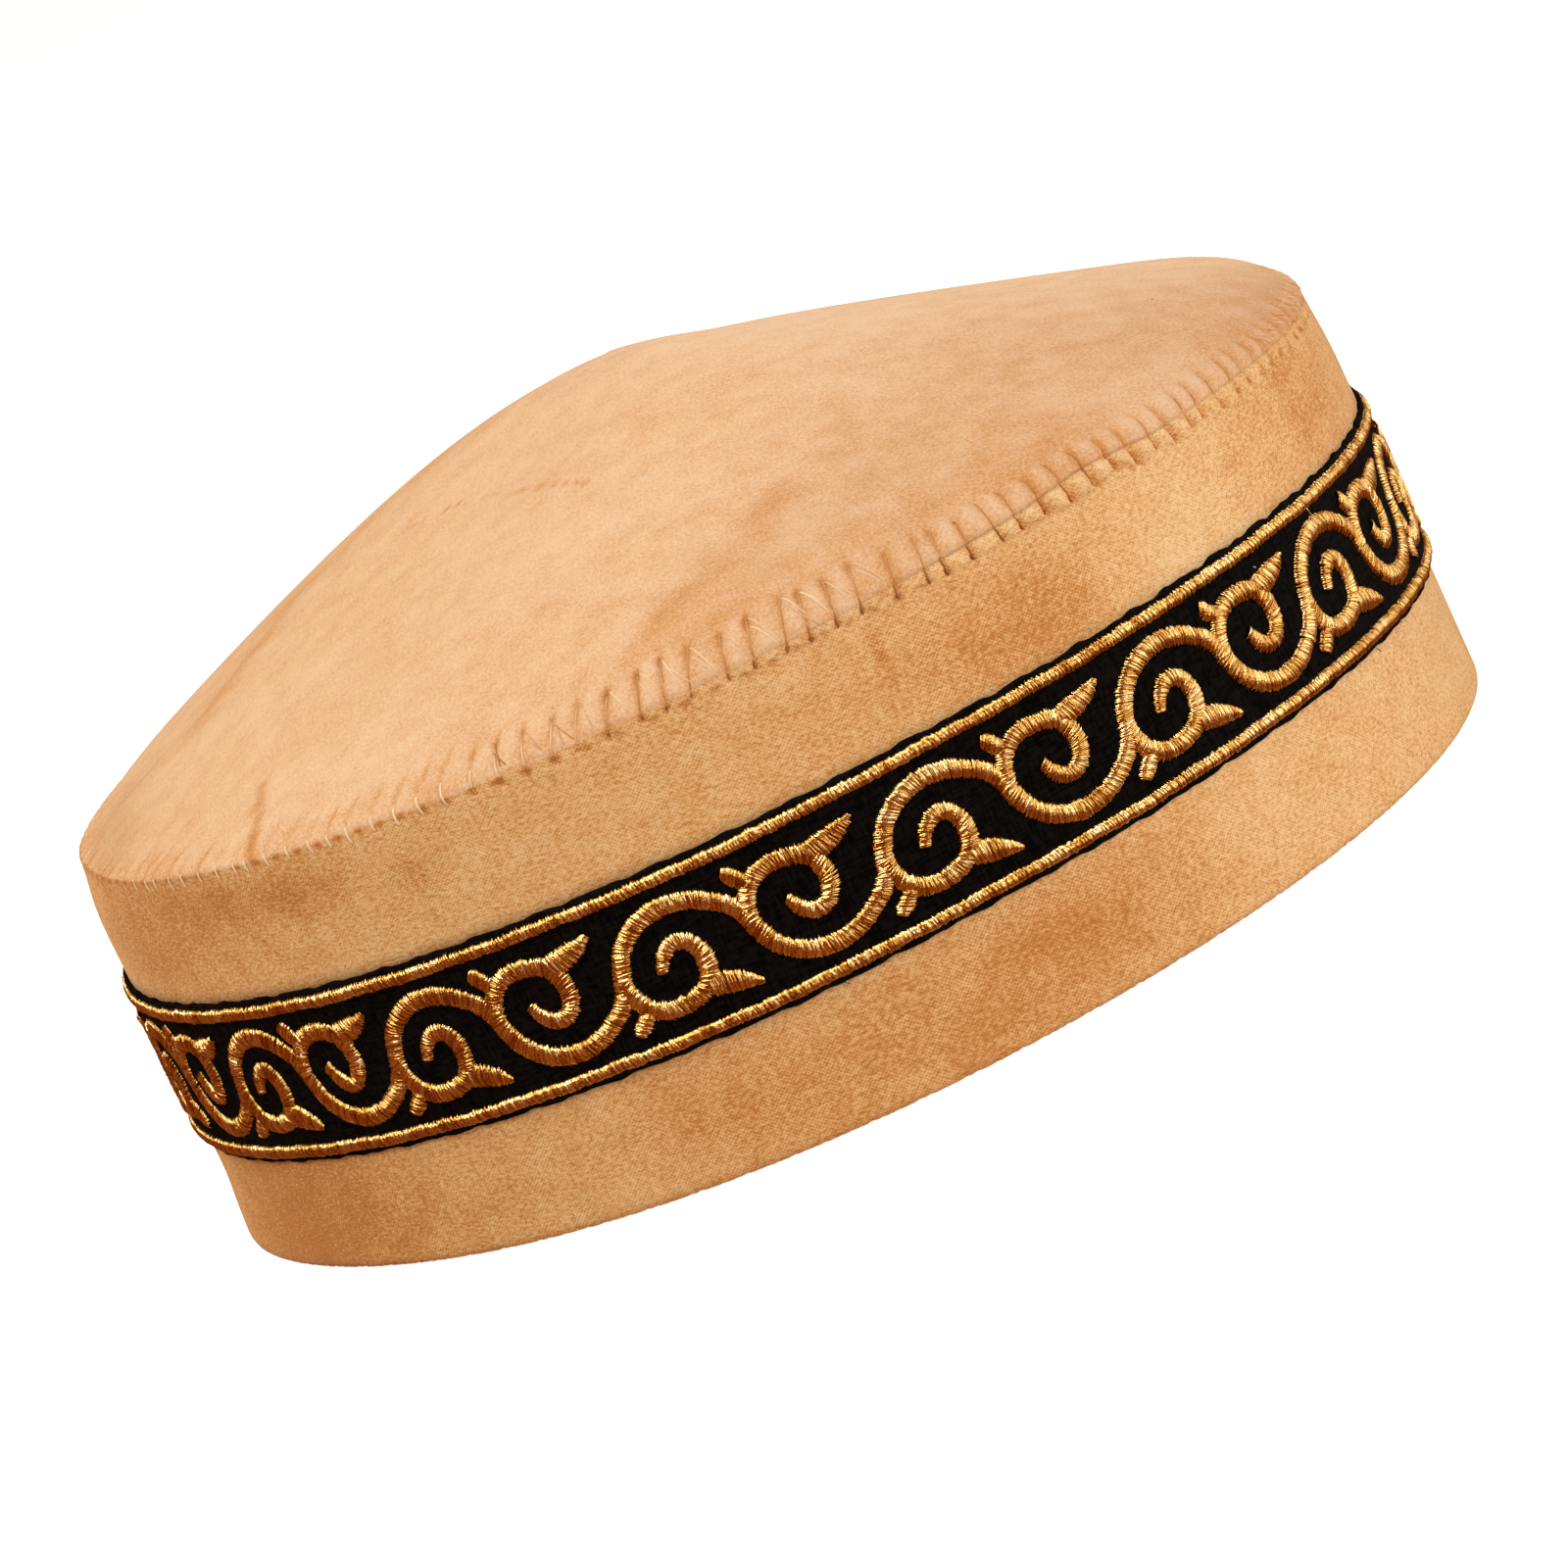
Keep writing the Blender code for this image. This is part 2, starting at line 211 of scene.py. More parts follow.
@dataclass(frozen=True)
class SeamLayout:
    """Where each stitch of the crown seam goes in and comes out."""

    form: CapForm
    count: int = 147
    seed: int = 11
    # degrees round the cap, reach up the crown, reach down the band
    reach: tuple[Row, ...] = (
        (40.0, 0.0048, 0.0015), (120.0, 0.005, 0.0014), (180.0, 0.003, 0.0016),
        (210.0, 0.003, 0.0014), (224.0, 0.0034, 0.0009), (240.0, 0.0048, 0.001),
        (262.0, 0.006, 0.001), (280.0, 0.0056, 0.0012), (290.0, 0.004, 0.0018),
        (303.0, 0.0032, 0.0026), (316.0, 0.0028, 0.0025), (336.0, 0.0022, 0.0018),
    )
    # degrees round the cap, how far a stitch leans as it goes up, above and below the crease
    slant: tuple[Row, ...] = (
        (30.0, 0.05, 0.05), (140.0, -0.06, -0.06), (215.0, -0.25, -0.25), (240.0, -0.18, -0.18),
        (249.0, -0.06, -0.1), (258.0, 0.06, 0.2), (266.0, 0.13, 0.25), (276.0, 0.2, 0.18),
        (282.0, 0.26, 0.12), (287.0, 0.25, 0.0), (292.0, 0.16, -0.12), (300.0, 0.16, -0.17),
        (308.0, 0.28, -0.22), (316.0, 0.42, -0.28), (332.0, 0.48, -0.3), (350.0, 0.3, -0.2),
    )
    # degrees round the cap, how pale and proud the threads are
    bare: tuple[Place, ...] = (
        (0.0, 0.2), (60.0, 0.3), (150.0, 0.5), (200.0, 1.0), (243.0, 1.0), (251.0, 0.45),
        (262.0, 0.0), (300.0, 0.0), (320.0, 0.25),
    )
    # degrees round the cap, rise of the crease above the seam line, how sharp it is, and
    # how much the velvet puffs up between the stitches below it
    crease: tuple[tuple[float, float, float, float], ...] = (
        (0.0, 0.0, 0.15, 0.0), (60.0, 0.0003, 0.7, 0.2), (120.0, -0.0002, 0.6, 0.1),
        (200.0, 0.0, 0.2, 0.0), (250.0, 0.0, 0.15, 0.0), (283.0, 0.0, 0.2, 0.1),
        (290.0, 0.0, 1.0, 0.7), (297.0, 0.0003, 0.9, 1.7), (303.0, 0.0011, 0.9, 1.9),
        (306.0, 0.0009, 0.9, 1.9), (311.0, 0.0001, 0.7, 1.7), (318.0, 0.0, 0.35, 1.0),
        (330.0, 0.0, 0.15, 0.1),
    )
    # how much each stitch strays: its place, its two reaches, its lean, and its pull's range
    stray_place: float = 0.10
    stray_reach: Place = (0.08, 0.14)
    stray_lean: float = 0.07
    pull_range: Place = (0.55, 1.15)
    angle: np.ndarray = field(init=False)
    up: np.ndarray = field(init=False)
    down: np.ndarray = field(init=False)
    lean: np.ndarray = field(init=False)
    lower_lean: np.ndarray = field(init=False)
    pull: np.ndarray = field(init=False)

    def __post_init__(self) -> None:
        """Draw the small differences between one stitch and the next."""
        draw = np.random.default_rng(self.seed)
        count = self.count
        slots = np.arange(count) + self.stray_place * draw.standard_normal(count)
        angle = FULL_TURN * slots / count
        up, down = (
            round_table(self.reach, column + 1, angle) * draw.normal(1.0, stray, count)
            for column, stray in enumerate(self.stray_reach)
        )
        stray = draw.normal(0.0, self.stray_lean, count)
        lean, lower_lean = (round_table(self.slant, k, angle) + stray for k in (1, 2))
        pull = draw.uniform(*self.pull_range, count)
        drawn = dict(angle=angle, up=up, down=down, lean=lean, lower_lean=lower_lean, pull=pull)
        for name, value in drawn.items():
            object.__setattr__(self, name, value)

    def nearest(self, angle: np.ndarray, way: np.ndarray) -> list[tuple[np.ndarray, np.ndarray]]:
        """The stitches on either side of each place.

        Args:
            angle: angles round the cap.
            way: distances from the seam crease.

        Returns:
            Three pairs of arrays: the stitch's number, and how far beside it the place lies.
        """
        radius = self.form.radius(angle)
        middle = np.round(angle / FULL_TURN * self.count).astype(int)
        found = []
        for offset in (-1, 0, 1):
            index = (middle + offset) % self.count
            turn = (angle - self.angle[index] + math.pi) % FULL_TURN - math.pi
            lean = np.where(way > 0.0, self.lean[index], self.lower_lean[index])
            found.append((index, turn * radius - lean * way))
        return found

    def along(self, way: np.ndarray) -> np.ndarray:
        """Angle of every stitch where it is that far from the crease."""
        lean = np.where(way > 0.0, self.lean, self.lower_lean)
        return self.angle + lean * way / self.form.radius(self.angle)

    def within(self, index: np.ndarray, way: np.ndarray, ends: tuple[Place, Place]) -> np.ndarray:
        """1 between the two ends of a stitch, fading out there.

        Args:
            index: the number of the stitch at each place.
            way: distances from the seam crease.
            ends: where the fading starts and stops, past the lower and the upper end.

        Returns:
            One share for each place.
        """
        lower, upper = ends
        risen = step_up(way, lower[0] - self.down[index], lower[1] - self.down[index])
        return risen * (1.0 - step_up(way - self.up[index], *upper))


@dataclass(frozen=True)
class Mark:
    """Fold or brushed line on the velvet, in plan view.

    A fold has a depth, and painted shade in its crease. A brushed line only has a shade, dark when
    positive: partly brushed pile, partly painted shade.
    """

    path: tuple[Place, ...]
    reach: float
    shade: float
    depth: float = 0.0
    painted_dark: float = 0.0                   # how much deep painted shade it lays on

    def strength(self, points: np.ndarray) -> np.ndarray:
        """1 on the line, falling to 0 beside it and past its ends."""
        flat = points[:, :2]
        nearest = np.full(len(flat), np.inf)
        for start, end in zip(self.path, self.path[1:]):
            first, run = np.array(start), np.array(end) - np.array(start)
            share = np.clip(((flat - first) @ run) / (run @ run), 0.0, 1.0)
            gap = np.linalg.norm(flat - first - share[:, None] * run, axis=1)
            nearest = np.minimum(nearest, gap)
        return bell((nearest, self.reach))


# folds pressed into the crown, from its point down towards the front, with painted shade in their
# creases
FOLDS = (
    Mark(((-0.0322, -0.0013), (-0.0285, -0.0040)), reach=0.0004, shade=0.45, depth=0.00008),
    Mark(((-0.0262, -0.0060), (-0.0245, -0.0072), (-0.0228, -0.0086)),
         reach=0.00032, shade=1.1, depth=0.00016),
    Mark(((-0.0206, -0.0130), (-0.0172, -0.0184), (-0.0108, -0.0280), (-0.0064, -0.0346)),
         reach=0.00042, shade=0.65, depth=0.00012),
)
# lines brushed into the crown's pile, and painted shade where the crown sinks or turns from the
# light
BRUSHED_AND_SHADED = (
    # over the middle of the front seam
    Mark(((0.0160, -0.0628), (0.0090, -0.0701), (-0.0015, -0.0759), (-0.0069, -0.0799)),
         reach=0.0030, shade=0.42),
    Mark(((-0.0025, -0.0848), (0.0109, -0.0847), (0.0238, -0.0842), (0.0378, -0.0801),
          (0.0526, -0.0716)), reach=0.0070, shade=0.45),
    Mark(((0.0100, -0.0760), (0.0250, -0.0730)), reach=0.0140, shade=0.05, painted_dark=0.08),
    # on the left: brushed strokes, the painted shadow along the sunk line, and painted shade along
    # the edge
    Mark(((-0.0663, -0.0623), (-0.0639, -0.0553), (-0.0620, -0.0468)),
         reach=0.0010, shade=0.9),
    Mark(((-0.0690, -0.0012), (-0.0504, 0.0163), (-0.0321, 0.0213), (0.0, 0.0210)),
         reach=0.0060, shade=0.50),
    Mark(((-0.0860, -0.0200), (-0.0850, 0.0)), reach=0.0070, shade=0.20, painted_dark=0.14),
    # on the right: painted shade, darker where the crown turns from the light
    Mark(((0.0500, -0.0560), (0.0740, -0.0400), (0.0880, -0.0240)),
         reach=0.0300, shade=0.26, painted_dark=0.09),
    Mark(((0.0680, -0.0400), (0.0900, -0.0220)), reach=0.0200, shade=0.10, painted_dark=0.04),
)


@dataclass(frozen=True)
class StitchShade:
    """Painted shade and light of the seam and its stitches: how strong, and how far it reaches."""

    gathered: Row = (0.16, 0.0016, 0.0036)      # painted shade of the gathers above the crease: strength, way and reach
    crease: Place = (0.50, 0.00020)             # strength and reach of the painted shade in the crease
    dash_wander: Place = (2.0, 9.0)             # how the dashes of painted shade between the feet wander
    dash_low: float = 0.00015                   # how far they lie under the feet
    dash_reach: float = 0.00040
    dash_warm_shade: Place = (0.9, 1.0)               # strength, and what bare threads add
    dash_deep_shade: float = 0.30
    ends: tuple[Place, Place] = ((-0.0003, 0.0002), (-0.0004, 0.0004))
    groove: Row = (0.45, 0.08, 0.00040)         # painted shade along each thread: warm, deep and reach
    foot: Row = (0.6, 0.66, 0.00034)            # the same round its lower end, the shadowed needle hole
    foot_rise: float = 0.0001
    smear: Place = (1.15, 0.00055)              # painted shade of the puckers at the upper end: strength and reach
    smear_low: Place = (0.0009, 0.0007)         # how far under it, and less where bare
    smear_tall: Place = (0.0010, 0.0006)        # its reach upwards, and more where bare
    smear_fade: Place = (0.10, 0.80)            # weaker where bare, and where puffed below
    bare_lean: float = 0.05                     # lean of the puckers over bare threads
    tongue: Place = (0.65, 0.00050)             # painted shadow below the crease, under each puff
    tongue_shares: Place = (0.7, 0.6)           # its middle and reach, as shares of the stitch
    between: Place = (0.18, 0.0009)             # painted light on the puffs between two threads
    bare_hold: float = 0.25                     # how much less bare threads darken it
    # how much less deep painted shade lies under bare threads, and where the velvet puffs below
    bare_deep_shade: float = 0.8
    below_deep_shade: float = 0.6


@dataclass(frozen=True)
class VelvetSkin:
    """Outer face of crown and band, with its crease, stitch grooves and folds."""

    form: CapForm
    seam: SeamLayout
    skirt: float = 0.0005                # upright edge of the crown above the crease
    turn: float = 0.0004                 # how softly that edge turns over
    crease_depth: float = 0.00024
    crease_reach: float = 0.00042
    dip_depth: float = 0.00007           # wide dip on both sides of the crease
    dip_reach: float = 0.0015
    groove_depth: float = 0.00034
    groove_reach: float = 0.00040
    hole_depth: float = 0.00042
    hole_reach: float = 0.00044
    puff_height: float = 0.00036
    gather_depth: float = 0.00016
    gather_reach: float = 0.0035
    gather_spread: float = 1.5           # how much wider than its groove
    gather_start: float = 0.0005         # how far under the upper end it starts
    ends: tuple[Place, Place] = ((-0.0005, 0.0003), (-0.0006, 0.0005))
    holes: tuple[Place, Place] = ((0.0001, 1.0), (-0.0003, 0.6))   # way from each end, depth
    uneven: Row = (0.40, 79.0, 31.0)     # how much the crease's depth varies, and its waves
    bare_ease: float = 0.70              # how much less a bare thread pulls
    below_pull: float = 0.5              # how much more it pulls where the velvet puffs
    bare_flat: float = 0.6               # how much less the velvet puffs between bare threads
    crease_clear: float = 0.00045        # nothing puffs nearer the crease than this
    crease_blend: float = 0.004          # the crease's own rise dies away over this
    ripple: float = 0.00012
    ripple_round: tuple[Place, Place] = ((61.0, 1.3), (53.0, 0.4))      # waves and starts
    ripple_slant: Row = (0.6, 97.0, -71.0)      # share, and waves along x and y
    step: float = 0.0001
    folds: tuple[Mark, ...] = ()
    shade: StitchShade = StitchShade()

    def crease_height(self, angle: np.ndarray) -> np.ndarray:
        """How far the crease runs above the seam's own line."""
        return round_table(self.seam.crease, 1, angle)

    def base(self, angle: np.ndarray, way: np.ndarray) -> np.ndarray:
        """Points of the smooth skin, before anything is pressed into it."""
        form = self.form
        radius = form.radius(angle)
        inward = self.turn * np.logaddexp(0.0, (way - self.skirt) / self.turn)
        inward = np.minimum(inward, radius)
        share = 1.0 - inward / radius
        level = step_up(share, 0.0, form.level_share)
        seam = form.seam_height + level * waves(form.seam_wave, angle)
        seam = seam + bell((way, self.crease_blend)) * self.crease_height(angle)
        height = seam + (way - inward) + form.crown_rise(share, angle)
        reach = radius - inward
        x = form.centre[0] + reach * np.cos(angle) + form.point_shift * inward / radius
        y = form.centre[1] + reach * np.sin(angle)
        return np.stack((x, y, height), axis=-1)

    def normal(self, angle: np.ndarray, way: np.ndarray) -> np.ndarray:
        """Outward unit normals of the smooth skin."""
        turn = self.step / self.form.band_radius
        round_way = self.base(angle + turn, way) - self.base(angle - turn, way)
        up_way = self.base(angle, way + self.step) - self.base(angle, way - self.step)
        across = np.cross(round_way, up_way)
        length = np.linalg.norm(across, axis=-1, keepdims=True)
        upright = np.array((0.0, 0.0, 1.0))
        return np.where(length > 1e-12, across / np.maximum(length, 1e-12), upright)

    def stitch_relief(self, angle: np.ndarray, way: np.ndarray) -> np.ndarray:
        """How far the seam and its stitches push the skin out or pull it in."""
        seam = self.seam
        size, first, second = self.uneven
        sharp = round_table(seam.crease, 2, angle)
        sharp = sharp * (1.0 - size + size * np.sin(first * angle + 1.1) * np.sin(second * angle))
        bare = round_table(seam.bare, 1, angle)
        below = round_table(seam.crease, 3, angle)
        relief = -self.crease_depth * sharp * bell((way, self.crease_reach))
        relief = relief - self.dip_depth * bell((way, self.dip_reach))
        nearest_gap = np.full(np.shape(way), np.inf)
        zone = np.zeros(np.shape(way))
        for index, beside in seam.nearest(angle, way):
            up, down, pull = seam.up[index], seam.down[index], seam.pull[index]
            inside = seam.within(index, way, self.ends)
            more = np.where(way < 0.0, 1.0 + self.below_pull * below, 1.0)
            pull = pull * (1.0 - self.bare_ease * bare) * more
            groove = bell((beside, self.groove_reach))
            relief = relief - self.groove_depth * pull * groove * inside
            for end, (offset, share) in zip((-down, up), self.holes):
                hole = bell((beside, self.hole_reach), (way - end - offset, self.hole_reach))
                relief = relief - share * self.hole_depth * pull * hole
            above = np.clip(way - up, 0.0, None)
            gather = np.exp(-above / self.gather_reach) * (way > up - self.gather_start)
            spread = bell((beside, self.gather_spread * self.groove_reach))
            relief = relief - self.gather_depth * pull * gather * spread
            closer = np.abs(beside) < nearest_gap
            nearest_gap = np.where(closer, np.abs(beside), nearest_gap)
            zone = np.where(closer, inside, zone)
        pitch = FULL_TURN * self.form.band_radius / seam.count
        puff = np.sin(math.pi * np.clip(nearest_gap / pitch, 0.0, 0.5)) ** 2
        zone = zone * np.where(way < 0.0, below, 1.0 - self.bare_flat * bare)
        return relief + self.puff_height * puff * zone * (1.0 - bell((way, self.crease_clear)))

    def shades(self, angle: np.ndarray, way: np.ndarray) -> tuple[np.ndarray, np.ndarray]:
        """Painted shade of the stitches on the velvet, with painted light between them.

        Args:
            angle: angles round the cap.
            way: distances from the seam crease.

        Returns:
            The warm painted shade, light where negative, and the deep painted shade from 0 to 1.
        """
        seam, look = self.seam, self.shade
        bare = round_table(seam.bare, 1, angle)
        sharp = round_table(seam.crease, 2, angle)
        below = np.minimum(round_table(seam.crease, 3, angle), 1.0)
        half_pitch = math.pi * self.form.band_radius / seam.count
        strength, above, reach = look.gathered
        warm_shade = strength * (1.0 - below) * bell((way - above, reach))
        deep_shade = look.crease[0] * sharp * bell((way, look.crease[1]))
        wander = look.dash_wander[0] * np.sin(look.dash_wander[1] * angle)
        dashes = np.clip(np.sin(seam.count * angle + wander), 0.0, 1.0)
        level = -look.dash_low - (1.0 - bare) * round_table(seam.reach, 2, angle)
        dashes = dashes * (1.0 - below) * bell((way - level, look.dash_reach))
        warm_shade = warm_shade + (look.dash_warm_shade[0] + look.dash_warm_shade[1] * bare) * dashes
        deep_shade = deep_shade + look.dash_deep_shade * (1.0 - bare) * dashes
        low, tall = (k[0] + sign * k[1] * bare for k, sign in (
            (look.smear_low, -1.0), (look.smear_tall, 1.0)))
        groove_rust, groove_press, groove_reach = look.groove
        foot_rust, foot_press, foot_reach = look.foot
        middle, length = look.tongue_shares
        for index, beside in seam.nearest(angle, way):
            up, down, pull = seam.up[index], seam.down[index], seam.pull[index]
            inside = seam.within(index, way, look.ends)
            groove = bell((beside, groove_reach)) * inside
            foot = bell((beside, foot_reach), (way + down - look.foot_rise, foot_reach))
            upright = beside + bare * (seam.lean[index] - look.bare_lean) * way
            upper = bell((upright, look.smear[1]), (way - up + low, tall))
            tongue = bell((beside, look.tongue[1]), (way + middle * down, length * down))
            between = bell((np.abs(beside) - half_pitch, look.between[1])) * inside
            held = pull * (1.0 - look.bare_hold * bare)
            smear = look.smear[0] * pull * (1.0 - look.smear_fade[0] * bare)
            smear = smear * (1.0 - look.smear_fade[1] * below)
            warm_shade = warm_shade + held * (groove_rust * groove + foot_rust * foot + smear * upper)
            warm_shade = warm_shade + held * below * look.tongue[0] * tongue
            warm_shade = warm_shade - look.between[0] * (1.0 - bare) * between
            spot = (groove_press * groove + foot_press * foot) * (1.0 - look.below_deep_shade * below)
            deep_shade = deep_shade + pull * (1.0 - look.bare_deep_shade * bare) * spot
        return warm_shade, np.clip(deep_shade, 0.0, 1.0)

    def relief(self, angle: np.ndarray, way: np.ndarray, points: np.ndarray) -> np.ndarray:
        """Everything that lifts the skin off its smooth shape, at given points of it."""
        x, y = points[:, 0], points[:, 1]
        soft = math.prod(
            np.sin(wave * at + start) for at, (wave, start) in zip((x, y), self.ripple_round)
        )
        share, along_x, along_y = self.ripple_slant
        soft = soft + share * np.sin(along_x * x + along_y * y)
        total = self.stitch_relief(angle, way) + self.ripple * soft
        total = total - self.form.draw(angle, way) - self.form.sink(way, x, y)
        for fold in self.folds:
            total = total - fold.depth * fold.strength(points)
        return total

    def point(self, angle: np.ndarray, way: np.ndarray, lift: np.ndarray) -> np.ndarray:
        """Points at a distance off the finished skin.

        Args:
            angle: angles round the cap.
            way: distances from the seam crease.
            lift: distances off the skin, outwards.

        Returns:
            One row of x, y and z for each place.
        """
        base = self.base(angle, way)
        push = self.relief(angle, way, base) + lift
        return base + self.normal(angle, way) * push[:, None]


# --------------------------------------------------------------------------------------
# Mesh and node tools
# --------------------------------------------------------------------------------------


class MeshMaker:
    """Short ways to turn operator-made shapes into finished pieces."""

    @staticmethod
    def lathe(bm: bmesh.types.BMesh, chain: list[Place], steps: int, closed: bool = False) -> None:
        """Turn a chain of points in the XZ plane once round Z.

        A grid is rolled up, which is far quicker than a spin with so many steps.

        Args:
            bm: mesh that takes the new surface.
            chain: distance from the axis and height of each point.
            steps: how many steps the turn has.
            closed: whether the last point is joined to the first.
        """
        rows = chain + chain[:1] if closed else chain
        last = len(rows) - 1
        made = bmesh.ops.create_grid(bm, x_segments=steps, y_segments=last, size=1.0)
        for vert in made["verts"]:
            turn = math.pi * (1.0 + vert.co.x)
            reach, height = rows[round(0.5 * (vert.co.y + 1.0) * last)]
            vert.co = (reach * math.cos(turn), reach * math.sin(turn), height)

    @staticmethod
    def close(bm: bmesh.types.BMesh, name: str) -> bpy.types.Mesh:
        """Merge doubles, turn the faces outwards and hand over the mesh."""
        bmesh.ops.remove_doubles(bm, verts=bm.verts, dist=MERGE)
        bmesh.ops.recalc_face_normals(bm, faces=bm.faces)
        return MeshMaker.hand_over(bm, name)

    @staticmethod
    def hand_over(bm: bmesh.types.BMesh, name: str) -> bpy.types.Mesh:
        """Turn the working mesh into a plain one."""
        mesh = bpy.data.meshes.new(name)
        bm.to_mesh(mesh)
        bm.free()
        return mesh

    @staticmethod
    def ring(
        name: str, section: list[Place], radius: float, steps: int
    ) -> tuple[bpy.types.Mesh, np.ndarray, np.ndarray, np.ndarray]:
        """Roll a closed section once round Z.

        Args:
            name: name of the mesh.
            section: distance outside the radius and height of each point.
            radius: radius of the ring.
            steps: how many steps the turn has.

        Returns:
            The mesh, and each point's angle, distance outside the radius and height.
        """
        bm = bmesh.new()
        MeshMaker.lathe(bm, [(radius + out, z) for out, z in section], steps, closed=True)
        mesh = MeshMaker.close(bm, name)
        spread = MeshMaker.points(mesh)
        out = np.hypot(spread[:, 0], spread[:, 1]) - radius
        return mesh, np.arctan2(spread[:, 1], spread[:, 0]), out, spread[:, 2]

    @staticmethod
    def points(mesh: bpy.types.Mesh) -> np.ndarray:
        """Places of all the vertices, one row each."""
        flat = np.empty(3 * len(mesh.vertices))
        mesh.vertices.foreach_get("co", flat)
        return flat.reshape(-1, 3)

    @staticmethod
    def move(mesh: bpy.types.Mesh, points: np.ndarray) -> None:
        """Put every vertex at its row of points."""
        mesh.vertices.foreach_set("co", points.astype(np.float32).ravel())
        mesh.update()

    @staticmethod
    def value(mesh: bpy.types.Mesh, name: str, values: np.ndarray) -> None:
        """Give each vertex a number that the finish reads."""
        layer = mesh.attributes.new(name, "FLOAT", "POINT")
        layer.data.foreach_set("value", values.astype(np.float32))

    @staticmethod
    def piece(
        name: str,
        mesh: bpy.types.Mesh,
        finish: bpy.types.Material,
        slot: str,
        nodes: tuple[str, ...] = (),
    ) -> bpy.types.Object:
        """Make the object, dress it and tie it to the cap's body.

        Args:
            name: plain name of the piece.
            mesh: its finished mesh.
            finish: its material.
            slot: the record's material slot, which is not used.
            nodes: the solids that it stands for.

        Returns:
            The object, which sits at the origin.
        """
        mesh.name = name
        mesh.materials.append(finish)
        mesh.shade_smooth()
        obj = bpy.data.objects.new(name, mesh)
        show(obj)
        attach(obj, "root")
        if nodes:
            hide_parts(*nodes)
        LOG.info("%s: %d faces", name, len(mesh.polygons))
        return obj


@dataclass(frozen=True)
class ThreadPattern:
    """Short straight tube that is bent into one stitch after another."""

    sides: int = 4
    spans: int = 4

    def tube(self) -> tuple[np.ndarray, list[list[int]]]:
        """The tube's points (side, lift, share along it from -1 to 1) and its faces."""
        bm = bmesh.new()
        bmesh.ops.create_cone(
            bm,
            cap_ends=True,
            cap_tris=False,
            segments=self.sides,
            radius1=1.0,
            radius2=1.0,
            depth=2.0,
        )
        lengthwise = [e for e in bm.edges if abs(e.verts[0].co.z - e.verts[1].co.z) > 1.0]
        bmesh.ops.subdivide_edges(bm, edges=lengthwise, cuts=self.spans - 1)
        bmesh.ops.recalc_face_normals(bm, faces=bm.faces)
        bm.verts.index_update()
        points = np.array([v.co[:] for v in bm.verts])
        if self.sides == 4:
            upright = np.array(((1.0, 1.0), (-1.0, 1.0)))
            points[:, :2] = points[:, :2] @ upright
        faces = [[v.index for v in f.verts] for f in bm.faces]
        bm.free()
        return points, faces

    def array(self, name: str, places: np.ndarray, faces: list[list[int]]) -> bpy.types.Mesh:
        """Join the bent copies of the tube into one mesh.

        Args:
            name: name of the mesh.
            places: one block of points for each copy.
            faces: faces of the first copy.

        Returns:
            The joined mesh.
        """
        copies, size = places.shape[:2]
        all_faces = []
        for corners in sorted({len(f) for f in faces}):
            group = np.array([f for f in faces if len(f) == corners])
            starts = size * np.arange(copies)
            all_faces += (group[None] + starts[:, None, None]).reshape(-1, corners).tolist()
        mesh = bpy.data.meshes.new(name)
        mesh.from_pydata(places.reshape(-1, 3).tolist(), [], all_faces)
        return mesh


